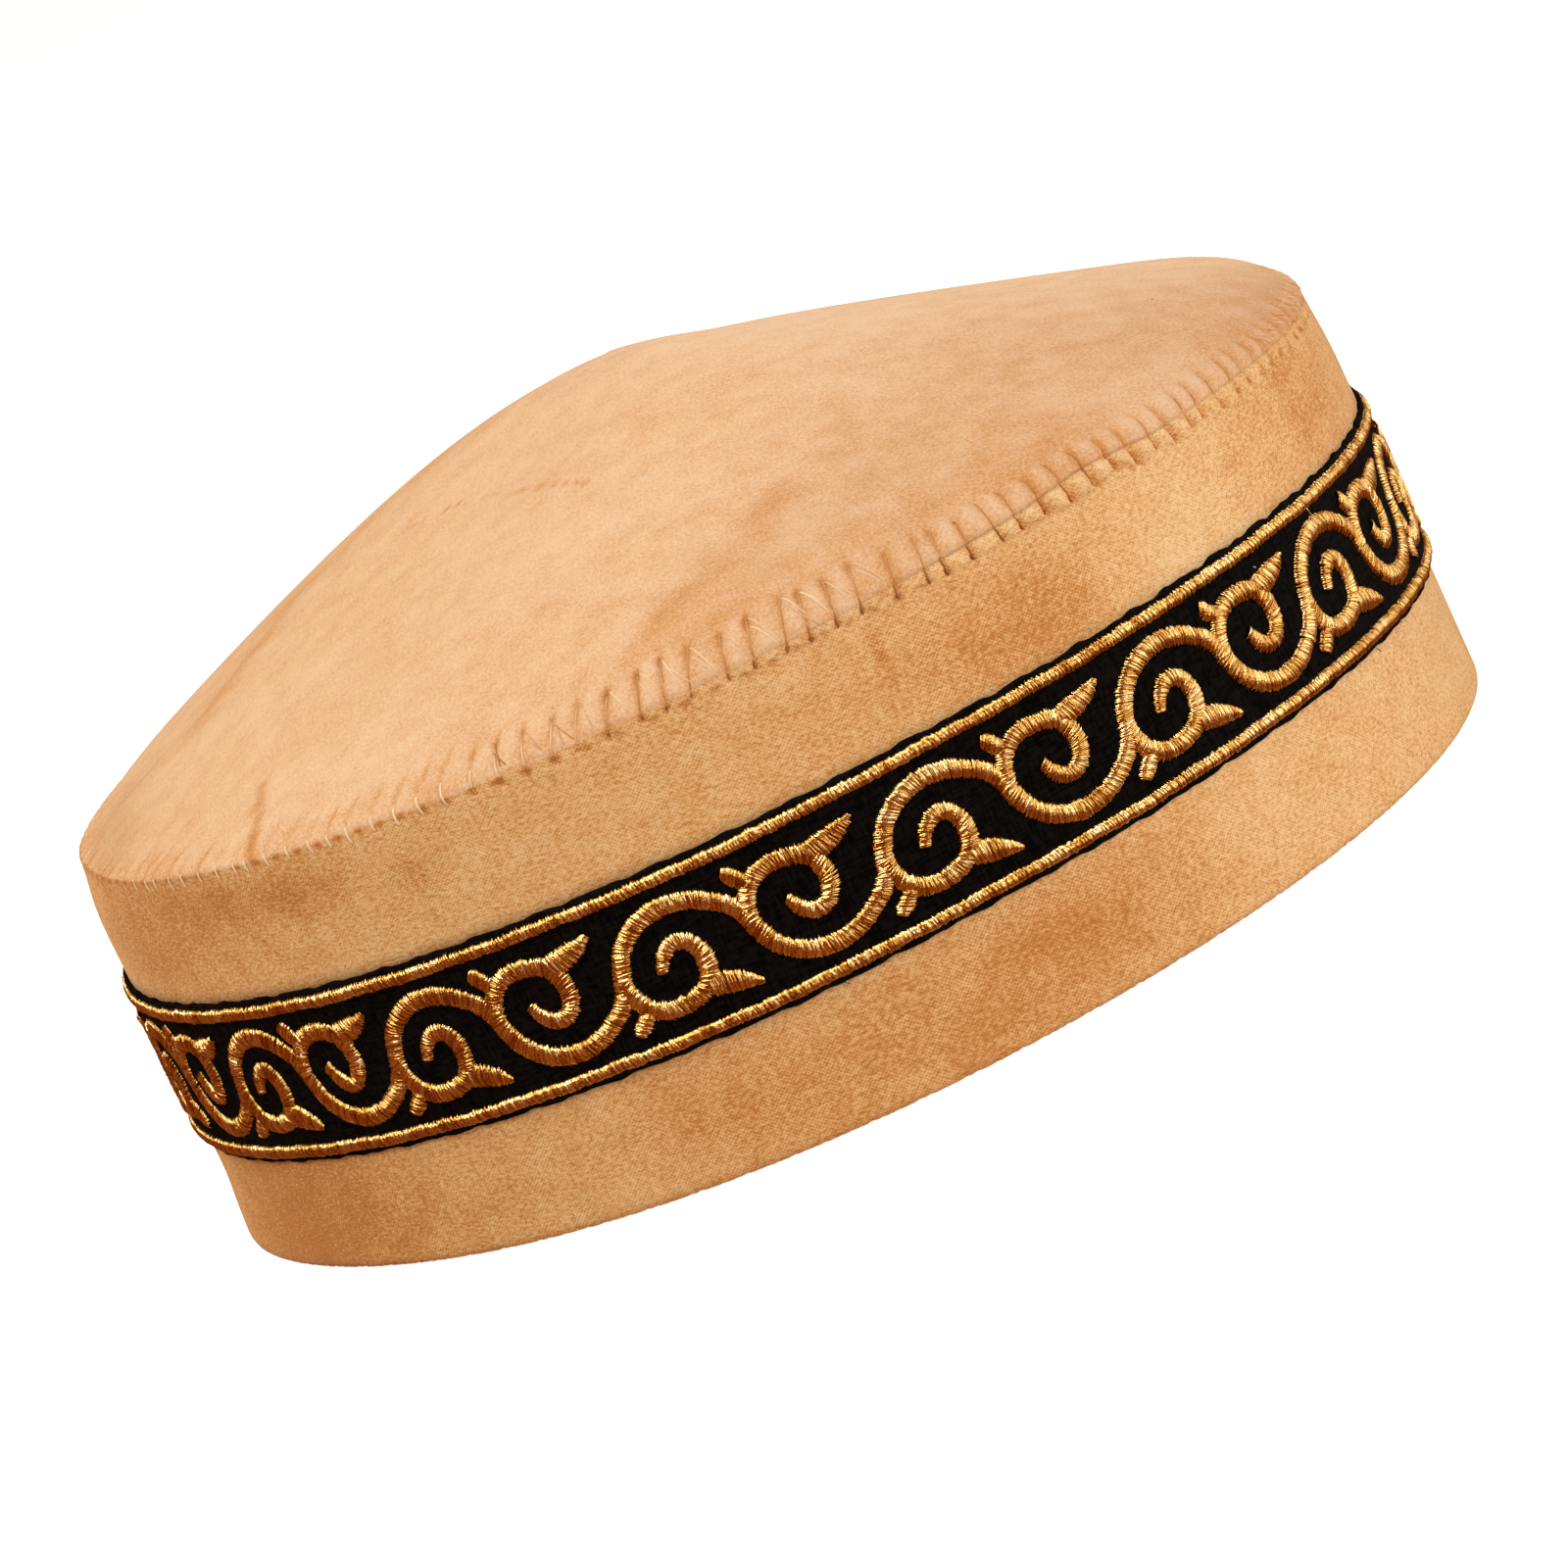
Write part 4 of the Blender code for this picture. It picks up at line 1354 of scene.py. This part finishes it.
    def slant(
        self,
        name: str,
        upper: np.ndarray,
        bare: np.ndarray,
        share: float,
        fall: float,
        draw: np.random.Generator,
    ) -> bpy.types.Object:
        """Lay light threads that slant down from the straight ones.

        Args:
            name: name of the piece.
            upper: angle and way of the straight threads' upper ends.
            bare: how bare the straight threads lie, which leaves less light for these.
            share: how far up its straight thread each one starts.
            fall: how much of that way it comes down.
            draw: random source for the differences between threads.

        Returns:
            The piece.
        """
        count = len(upper)
        start = upper * (1.0, share)
        hop = FULL_TURN / self.skin.seam.count * draw.normal(*self.slant_hop, count)
        way = start[:, 1] * (1.0 - fall * draw.normal(1.0, self.slant_fall_stray, count))
        end = np.stack((start[:, 0] + hop, way), axis=1)
        least, most, less = self.slant_tone
        tone = draw.uniform(least, most, (count, 1)) * np.array(self.slant_ends)
        tone = tone - less * bare[:, None]
        return self.run(name, start, end, tone, self.slant_width, self.slant_sink)


@dataclass(frozen=True)
class LooseStrands:
    """A few stray bits of thread and lint that lie on the cap."""

    skin: VelvetSkin
    name: str
    slot: str
    finish: bpy.types.Material
    # degrees round the cap and millimetres from the crease, at the bit's two ends
    ends: tuple[tuple[float, float, float, float], ...]
    half_width: float
    lift: float = 0.0
    tone: float = 0.6
    sink: float = 0.00003

    def build(self) -> bpy.types.Object:
        """Lay the bits down."""
        one = math.radians(1.0)
        rows = np.array(self.ends) * (one, MM, one, MM)
        tone = np.full((len(rows), 3), self.tone)
        return SeamThreads(self.skin, self.finish).run(
            self.name,
            rows[:, :2],
            rows[:, 2:],
            tone,
            self.half_width,
            self.sink,
            lift_off=self.lift,
            slot=self.slot,
        )


# --------------------------------------------------------------------------------------
# Ribbon and its embroidery
# --------------------------------------------------------------------------------------


@dataclass(frozen=True)
class RibbonFace:
    """Front of the ribbon as a flat strip: length along it, height and lift."""

    form: CapForm
    samples: int = 2881
    thread_lift: float = 0.0003          # lengths are those along the thread, this far off it

    def table(self) -> tuple[np.ndarray, np.ndarray]:
        """Angles from the front and the ribbon's length to each of them."""
        angles = np.linspace(FRONT, FRONT + FULL_TURN, self.samples)
        reach = self.form.radius(angles) + self.form.ribbon_face + self.thread_lift
        steps = np.hypot(np.diff(reach * np.cos(angles)), np.diff(reach * np.sin(angles)))
        return angles, np.concatenate(([0.0], np.cumsum(steps)))

    def length(self) -> float:
        """Length once round the cap."""
        return float(self.table()[1][-1])

    def bend(self, along: np.ndarray, up: np.ndarray, lift: np.ndarray) -> np.ndarray:
        """Wrap places of the strip round the cap.

        Args:
            along: lengths along the ribbon from the front.
            up: heights above its middle line.
            lift: distances off its face.

        Returns:
            One row of x, y and z for each place.
        """
        angles, lengths = self.table()
        angle = np.interp(np.asarray(along) % lengths[-1], lengths, angles)
        middle = 0.5 * (self.form.ribbon_low + self.form.ribbon_high)
        height = middle + up + self.form.ribbon_rise(angle)
        return self.form.wall(angle, self.form.ribbon_face + lift, height)


@dataclass(frozen=True)
class Ribbon:
    """Flat black ribbon with soft edges that waver where they are sewn down."""

    face: RibbonFace
    finish: bpy.types.Material
    thickness: float = 0.0007
    steps: int = 720
    rows: int = 9
    edge_round: float = 0.00028
    edge_waver: float = 0.00010
    edge_from: Place = (0.0108, 0.0119)  # heights off the middle where the wavering sets in
    shared_waver: tuple[Row, ...] = ((1.0, 67.0, 0.8), (0.7, 113.0, 2.1))
    own_waver: tuple[Row, ...] = ((0.5, 191.0, 0.3),)       # other on each edge
    restless: Row = (0.8, 315.0, 22.0)   # upper edge: how much more, where and how wide

    def build(self) -> bpy.types.Object:
        """Roll the ribbon's section and let its edges waver."""
        form = self.face.form
        low, high, turn = form.ribbon_low, form.ribbon_high, self.edge_round
        front = form.ribbon_face
        cut = 0.3 * turn
        section = [(front - turn, low), (front - cut, low + cut)]
        section += [(front, z) for z in np.linspace(low + turn, high - turn, self.rows)]
        section += [(front - cut, high - cut), (front - turn, high)]
        section += [(front - self.thickness, high), (front - self.thickness, low)]
        mesh, angle, out, height = MeshMaker.ring("ribbon", section, form.band_radius, self.steps)
        up = height - 0.5 * (low + high)
        side = np.sign(up)
        at_edge = step_up(np.abs(up), *self.edge_from)
        more, at, wide = self.restless
        restless = 1.0 + more * bell((np.degrees(angle) % 360.0 - at, wide))
        waver = sines(self.shared_waver, angle) + sines(self.own_waver, angle * side)
        upper = np.where(up > 0.0, restless, 1.0)
        height = height + self.edge_waver * waver * at_edge * upper * side
        placed = form.wall(angle, out, height + form.ribbon_rise(angle))
        MeshMaker.move(mesh, placed)
        return MeshMaker.piece("ribbon_cloth", mesh, self.finish, "ribbon_weave", ("ribbon",))


@dataclass(frozen=True)
class SatinWork:
    """Satin stitches of gold thread, laid side by side across a line."""

    face: RibbonFace
    finish: bpy.types.Material
    spacing: float = 0.00022
    half_width: float = 0.000140
    half_height: float = 0.00010
    crown: float = 0.00062               # how high the middle of a stitch stands
    foot: float = 0.00004                # how deep its two ends go into the ribbon
    spread: float = 0.00046              # how much wider than its line a stitch is pulled
    slant: float = math.radians(14.0)
    pattern: ThreadPattern = ThreadPattern(sides=4, spans=4)
    ends_near: float = 0.55              # power that draws a stitch's rings to its two ends
    taper: float = 0.45                  # how much thinner it is there
    bow_power: float = 2.8               # how boxy its bow is
    least_reach: float = 0.00018         # half the length of the shortest stitch
    flat_rise: Place = (0.55, 0.45)      # share of the rise that any stitch has, and the rest
    full_reach: float = 0.001            # half the length from which a stitch stands fully
    # how much one stitch differs from the next
    stray_turn: float = 0.05
    stray_reach: float = 0.000065
    stray_shift: float = 0.00003
    stray_tilt: float = 0.000055
    fat_range: Place = (0.90, 1.12)
    rise_range: Place = (0.84, 1.10)
    tone: Row = (0.46, 0.20, 0.12)       # middle, stray of each stitch, slow drift
    drift_run: int = 9                   # stitches from one drift to the next

    def stitch(
        self,
        name: str,
        middle: np.ndarray,
        along: np.ndarray,
        width: np.ndarray,
        lift: np.ndarray,
        draw: np.random.Generator,
    ) -> bpy.types.Mesh:
        """Lay one stitch across the line at each of its places.

        Args:
            name: name of the mesh.
            middle: places on the strip, one row of length and height for each stitch.
            along: unit directions of the line there.
            width: widths of the line there.
            lift: how far each stitch starts above the ribbon.
            draw: random source for the differences between stitches.

        Returns:
            The joined mesh, with a tone for each stitch.
        """
        count = len(middle)
        tube, faces = self.pattern.tube()
        side, height, share = (column[None, :] for column in tube.T)
        share = np.sign(share) * np.abs(share) ** self.ends_near
        turn = 0.5 * math.pi + self.slant + draw.normal(0.0, self.stray_turn, count)
        heading = np.arctan2(along[:, 1], along[:, 0]) + turn
        across = np.stack((np.cos(heading), np.sin(heading)), axis=1)[:, None, :]
        beside = np.stack((across[..., 1], -across[..., 0]), axis=-1)
        reach = 0.5 * (width + self.spread) / math.cos(self.slant)
        reach = reach + draw.normal(0.0, self.stray_reach, count)
        reach = np.maximum(reach, self.least_reach)[:, None, None]
        taper = (1.0 - self.taper * np.abs(share) ** 4)[..., None]
        fat = draw.uniform(*self.fat_range, count)[:, None, None]
        shift = draw.normal(0.0, self.stray_shift, count)[:, None, None]
        flat = middle[:, None, :] + across * (share[..., None] * reach + shift)
        flat = flat + beside * side[..., None] * self.half_width * taper * fat
        least, rest = self.flat_rise
        rise = self.crown * np.minimum(1.0, least + rest * reach[..., 0] / self.full_reach)
        rise = rise * draw.uniform(*self.rise_range, count)[:, None]
        tilt = draw.normal(0.0, self.stray_tilt, count)[:, None] * share
        bow = rise * (1.0 - np.abs(share) ** self.bow_power) + tilt * (1.0 - share**2)
        off = bow - self.foot + lift[:, None] + height * self.half_height * taper[..., 0]
        placed = self.face.bend(flat[..., 0].ravel(), flat[..., 1].ravel(), off.ravel())
        mesh = self.pattern.array(name, placed.reshape(count, -1, 3), faces)
        turns = np.arange(0, count + self.drift_run, self.drift_run)
        drift = np.interp(np.arange(count), turns, draw.normal(0.0, 1.0, len(turns)))
        mean, stray, slow = self.tone
        tone = np.clip(mean + stray * draw.standard_normal(count) + slow * drift, 0.0, 1.0)
        MeshMaker.value(mesh, "tone", np.repeat(tone, len(tube)))
        return mesh


class Edge(Enum):
    """The two long edges of the ribbon, as the sign of their height on it."""

    UPPER = 1
    LOWER = -1


@dataclass(frozen=True)
class BorderLine:
    """Raised line of satin stitches along one edge of the ribbon."""

    work: SatinWork
    edge: Edge
    inset: float = 0.00162
    width: float = 0.00145
    stray: float = 0.10                  # of a stitch's place, as a share of the spacing
    wobble: tuple[Row, ...] = ((0.00005, 410.0, 0.0), (0.00004, 1130.0, 1.0))
    seed: int = 40

    def build(self) -> bpy.types.Object:
        """Lay the stitches once round the cap."""
        face = self.work.face
        length = face.length()
        count = round(length / self.work.spacing)
        draw = np.random.default_rng(self.seed + self.edge.value)
        half = 0.5 * (face.form.ribbon_high - face.form.ribbon_low)
        along = (np.arange(count) + draw.normal(0.0, self.stray, count)) * length / count
        up = np.full(count, self.edge.value * (half - self.inset)) + sines(self.wobble, along)
        forward = np.tile((1.0, 0.0), (count, 1))
        name = f"border_{self.edge.name.lower()}"
        mesh = self.work.stitch(
            f"{name}_thread",
            np.stack((along, up), axis=1),
            forward,
            np.full(count, self.width),
            np.zeros(count),
            draw,
        )
        finish = self.work.finish
        return MeshMaker.piece(f"{name}_thread", mesh, finish, "border_gold", (name,))


@dataclass(frozen=True)
class Stroke:
    """One stroke of the scroll: (along, up, width) down its middle."""

    rows: tuple[Row, ...]
    lift: float = 0.0
    steps: int = 12                      # steps of the curve from one row to the next
    look: float = 0.0002                 # its direction is taken this far ahead and behind

    def laid(self, spacing: float) -> tuple[np.ndarray, np.ndarray, np.ndarray]:
        """Places, directions and widths at even steps along a smooth curve through the rows."""
        rows = np.array(self.rows)
        padded = np.vstack((2.0 * rows[0] - rows[1], rows, 2.0 * rows[-1] - rows[-2]))
        share = np.linspace(0.0, 1.0, self.steps, endpoint=False)[:, None]
        curve = []
        for a, b, c, d in zip(padded, padded[1:], padded[2:], padded[3:]):
            first = 2.0 * b + (c - a) * share
            second = (2.0 * a - 5.0 * b + 4.0 * c - d) * share**2
            third = (3.0 * b - a - 3.0 * c + d) * share**3
            curve.append(0.5 * (first + second + third))
        curve = np.vstack(curve + [rows[-1:]])
        gaps = np.linalg.norm(np.diff(curve[:, :2], axis=0), axis=1)
        run = np.concatenate(([0.0], np.cumsum(gaps)))
        at = np.arange(0.5 * spacing, run[-1], spacing)
        even, ahead, behind = (
            np.stack([np.interp(at + shift, run, column) for column in curve.T], axis=1)
            for shift in (0.0, self.look, -self.look)
        )
        way = (ahead - behind)[:, :2]
        way /= np.linalg.norm(way, axis=1, keepdims=True)
        return even[:, :2], way, even[:, 2]


@dataclass(frozen=True)
class ScrollRow:
    """Running scroll in satin stitch: each repeat has an upper half and a lower half."""

    work: SatinWork
    repeats: int = 16
    start: float = -0.0054               # the first repeat's middle, from the front
    seed: int = 100
    strokes: tuple[Stroke, ...] = (
        Stroke((
            (-0.0092, 0.0048, 0.0023), (-0.0076, 0.0036, 0.0023), (-0.0063, 0.0018, 0.0024),
            (-0.0055, -0.0007, 0.0024), (-0.0042, -0.0033, 0.0024), (-0.002, -0.0053, 0.0024),
            (0.0008, -0.0065, 0.0024), (0.0037, -0.00675, 0.0024), (0.0068, -0.0061, 0.0023),
            (0.00923, -0.0048, 0.0023),
        )),
        Stroke((
            (-0.0057, 0.0003, 0.0022), (-0.0054, 0.0024, 0.0022), (-0.0041, 0.0047, 0.0023),
            (-0.0017, 0.00595, 0.0023), (0.0014, 0.00595, 0.0023), (0.004, 0.005, 0.0024),
            (0.0052, 0.0029, 0.0024), (0.0053, 0.0005, 0.0024), (0.0041, -0.0015, 0.0022),
            (0.0022, -0.00185, 0.0021), (0.0006, -0.00075, 0.0019), (-0.0004, 0.0011, 0.0013),
        ), lift=0.00006),
        Stroke((
            (0.0044, 0.005, 0.0028), (0.0066, 0.0054, 0.003), (0.009, 0.00615, 0.0022),
            (0.0111, 0.00715, 0.0005),
        ), lift=0.00010),
        Stroke((
            (-0.0067, 0.0076, 0.0012), (-0.0059, 0.0068, 0.0022), (-0.0044, 0.0053, 0.0018),
        ), lift=0.00003),
    )

    def build(self) -> list[bpy.types.Object]:
        """Stitch one piece for each repeat."""
        pitch = self.work.face.length() / self.repeats
        laid = [(stroke, stroke.laid(self.work.spacing)) for stroke in self.strokes]
        pieces = []
        for index in range(self.repeats):
            middle, along, width, lift = [], [], [], []
            for half, mirror in ((0, 1.0), (1, -1.0)):
                shift = self.start + (index + 0.5 * half) * pitch
                for stroke, (places, ways, widths) in laid:
                    middle.append(places * (1.0, mirror) + (shift, 0.0))
                    along.append(ways * (1.0, mirror))
                    width.append(widths)
                    lift.append(np.full(len(widths), stroke.lift))
            name = f"scroll_{index + 1:02d}"
            mesh = self.work.stitch(
                f"{name}_thread",
                np.vstack(middle),
                np.vstack(along),
                np.concatenate(width),
                np.concatenate(lift),
                np.random.default_rng(self.seed + index),
            )
            finish = self.work.finish
            piece = MeshMaker.piece(f"{name}_thread", mesh, finish, "scroll_gold", (name,))
            pieces.append(piece)
        return pieces


# --------------------------------------------------------------------------------------
# Studio
# --------------------------------------------------------------------------------------


@dataclass(frozen=True)
class SoftBox:
    """Large square light that faces the cap.

    A glint only shows in shiny threads. A plain one only lights cloth.
    """

    name: str
    azimuth: float                       # degrees, 0 in front and 90 on the right
    elevation: float
    distance: float
    size: float
    power: float
    colour: Colour = (1.0, 1.0, 1.0)
    glint: bool = False

    def build(self, target: Vector) -> bpy.types.Object:
        """Hang the light and turn it to the target."""
        data = bpy.data.lights.new(self.name, "AREA")
        data.shape = "SQUARE"
        data.size = self.size
        data.energy = self.power
        data.color = self.colour
        lamp = bpy.data.objects.new(self.name, data)
        turn, lift = math.radians(self.azimuth), math.radians(self.elevation)
        away = Vector((
            math.sin(turn) * math.cos(lift), -math.cos(turn) * math.cos(lift), math.sin(lift)
        ))
        lamp.location = target + away * self.distance
        lamp.rotation_euler = (-away).to_track_quat("-Z", "Y").to_euler()
        lamp.visible_diffuse = not self.glint
        lamp.visible_glossy = self.glint
        show(lamp)
        return lamp


@dataclass(frozen=True)
class Studio:
    """Plain pale floor, soft lights and the camera at the photograph's angle."""

    floor_finish: bpy.types.Material
    target: tuple[float, float, float] = (-0.00005, 0.0006, 0.045)
    distance: float = 0.900
    elevation: float = math.radians(10.36)
    roll: float = math.radians(25.35)
    lens: float = 148.93
    aim_right: float = 0.00812           # the picture's middle lies this far off the target
    aim_down: float = 0.01730
    sensor: float = 36.0
    floor_radius: float = 40.0
    floor_sides: int = 96
    floor_drop: float = 0.00005          # the floor lies this far under the hem
    world_strength: float = 0.40
    world_colour: Colour = (1.0, 0.64, 0.34)
    mirrored_strength: float = 0.27      # what shiny thread mirrors of the room, mostly itself
    mirrored_colour: Colour = (1.0, 0.27, 0.08)
    backdrop_colour: Colour = (1.0, 1.0, 1.0)
    lights: tuple[SoftBox, ...] = (
        SoftBox("top_light", -72.0, 52.0, 1.6, 1.0, 15.0, (0.70, 0.90, 1.0)),
        SoftBox("key_light", 38.0, 9.0, 1.6, 1.0, 13.2, (0.76, 0.88, 0.94)),
        SoftBox("front_light", -8.0, 4.0, 1.6, 1.0, 4.0, (0.86, 0.88, 0.88)),
        SoftBox("right_light", 88.0, 10.0, 1.3, 1.0, 6.0, (0.78, 0.92, 1.06)),
        SoftBox("left_light", -130.0, 34.0, 1.4, 0.8, 5.0, (1.0, 0.86, 0.60)),
        SoftBox("top_glint", -25.0, 62.0, 1.4, 1.0, 24.0, (1.0, 1.0, 0.94), True),
        SoftBox("right_glint", 101.0, 10.0, 1.2, 1.4, 11.5, (1.0, 1.0, 0.94), True),
        SoftBox("front_glint", 50.0, 8.0, 1.5, 1.0, 6.5, (1.0, 1.0, 0.94), True),
    )

    def build_floor(self) -> bpy.types.Object:
        """Wide level disc just under the hem."""
        bm = bmesh.new()
        sides, radius = self.floor_sides, self.floor_radius
        bmesh.ops.create_circle(bm, cap_ends=True, segments=sides, radius=radius)
        bmesh.ops.translate(bm, verts=bm.verts, vec=(0.0, 0.0, -self.floor_drop))
        mesh = MeshMaker.hand_over(bm, "floor")
        mesh.materials.append(self.floor_finish)
        floor = bpy.data.objects.new("floor", mesh)
        show(floor)
        floor.visible_glossy = False
        floor.visible_diffuse = False
        return floor

    def build_world(self) -> None:
        """Even soft light, a warm dim room for the gold to mirror, and a pale backdrop."""
        world = bpy.data.worlds.new("studio")
        world.use_nodes = True
        tree = world.node_tree
        even = tree.nodes["Background"]
        mirrored = tree.nodes.new("ShaderNodeBackground")
        backdrop = tree.nodes.new("ShaderNodeBackground")
        for shader, colour, strength in (
            (even, self.world_colour, self.world_strength),
            (mirrored, self.mirrored_colour, self.mirrored_strength),
            (backdrop, self.backdrop_colour, 1.0),
        ):
            shader.inputs["Color"].default_value = (*colour, 1.0)
            shader.inputs["Strength"].default_value = strength
        ray = tree.nodes.new("ShaderNodeLightPath")
        total = even
        for kind, shader in (("Is Glossy Ray", mirrored), ("Is Camera Ray", backdrop)):
            mix = tree.nodes.new("ShaderNodeMixShader")
            tree.links.new(ray.outputs[kind], mix.inputs[0])
            tree.links.new(total.outputs[0], mix.inputs[1])
            tree.links.new(shader.outputs[0], mix.inputs[2])
            total = mix
        tree.links.new(total.outputs[0], tree.nodes["World Output"].inputs["Surface"])
        bpy.context.scene.world = world

    def build_camera(self) -> bpy.types.Object:
        """Camera that is tilted down and rolled as the photograph's was."""
        forward = Vector((0.0, math.cos(self.elevation), -math.sin(self.elevation)))
        right = Vector((1.0, 0.0, 0.0))
        up = right.cross(forward)
        across = right * math.cos(self.roll) - up * math.sin(self.roll)
        upward = right * math.sin(self.roll) + up * math.cos(self.roll)
        target = Vector(self.target)
        place = target - forward * self.distance
        aim = (target + across * self.aim_right - upward * self.aim_down - place).normalized()
        upward = (upward - aim * upward.dot(aim)).normalized()
        across = aim.cross(upward)
        data = bpy.data.cameras.new("photo_camera")
        data.lens = self.lens
        data.sensor_width = self.sensor
        data.clip_end = 5.0 * self.floor_radius
        camera = bpy.data.objects.new("photo_camera", data)
        camera.matrix_world = Matrix.Translation(place) @ Matrix(
            (across, upward, -aim)
        ).transposed().to_4x4()
        show(camera)
        bpy.context.scene.camera = camera
        return camera

    def build(self) -> None:
        """Set up floor, world, lights and camera."""
        self.build_floor()
        self.build_world()
        for light in self.lights:
            light.build(Vector(self.target))
        self.build_camera()
        bpy.context.scene.view_settings.view_transform = "Standard"


def loose_bits(skin: VelvetSkin, gold: bpy.types.Material) -> list[LooseStrands]:
    """Stray bits of thread and lint on the front of the cap.

    Args:
        skin: the velvet, from which they are placed.
        gold: the finish of the scroll's thread.

    Returns:
        One group for each kind.
    """
    lint = SewingThreadFinish("pink_lint", (0.5, 0.2, 0.2), (0.75, 0.35, 0.38), (0.9, 0.5, 0.5))
    soot = SewingThreadFinish(
        "dark_speck", (0.03, 0.01, 0.006), (0.10, 0.04, 0.02), (0.2, 0.1, 0.05)
    )
    black = SewingThreadFinish(
        "black_thread", (0.002, 0.002, 0.002), (0.01, 0.008, 0.008), (0.02, 0.016, 0.015)
    )
    white = SewingThreadFinish(
        "white_fleck", (0.6, 0.57, 0.53), (0.8, 0.78, 0.75), (0.9, 0.9, 0.9)
    )
    return [
        LooseStrands(skin, "pink_lint", "band_velvet", lint.make(),
                     ((260.2, -12.12, 259.5, -12.55),), 0.09 * MM, 0.1 * MM),
        LooseStrands(skin, "dark_specks", "band_velvet", soot.make(),
                     ((336.8, -10.95, 337.0, -11.15), (337.8, 17.87, 338.1, 18.05)),
                     0.14 * MM, 0.05 * MM),
        LooseStrands(skin, "loose_black_threads", "ribbon_weave", black.make(),
                     ((267.3, -41.5, 268.0, -42.6), (332.2, -40.6, 333.0, -41.5),
                      (326.5, -41.2, 327.1, -42.2)), 0.07 * MM, 0.15 * MM),
        LooseStrands(skin, "ribbon_flecks", "ribbon_weave", white.make(),
                     ((315.2, -21.81, 315.4, -22.1), (308.3, -28.18, 308.5, -28.4)),
                     0.10 * MM, 0.9 * MM),
        LooseStrands(skin, "stray_gold_thread", "scroll_gold", gold,
                     ((324.3, -19.65, 324.9, -22.72),), 0.08 * MM, 1.4 * MM),
    ]


def main() -> None:
    """Build the cap's pieces in order and the studio round them."""
    logging.basicConfig(level=logging.INFO, format="%(message)s")
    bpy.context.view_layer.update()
    form = CapForm()
    skin = VelvetSkin(form, SeamLayout(form), folds=FOLDS)
    Crown(skin, CROWN_PILE.make(), FOLDS + BRUSHED_AND_SHADED).build()
    SideBand(skin, BAND_PILE.make()).build()
    SeamThreads(skin, SewingThreadFinish().make()).build()
    face = RibbonFace(form)
    Ribbon(face, RibbonFinish().make()).build()
    border = SatinWork(face, GoldThreadFinish("border_gold_thread").make())
    for edge in Edge:
        BorderLine(border, edge).build()
    scroll = SatinWork(face, GoldThreadFinish("scroll_gold_thread").make())
    ScrollRow(scroll).build()
    for bits in loose_bits(skin, scroll.finish):
        bits.build()
    Studio(FloorFinish().make()).build()


if __name__ == "__main__":
    main()
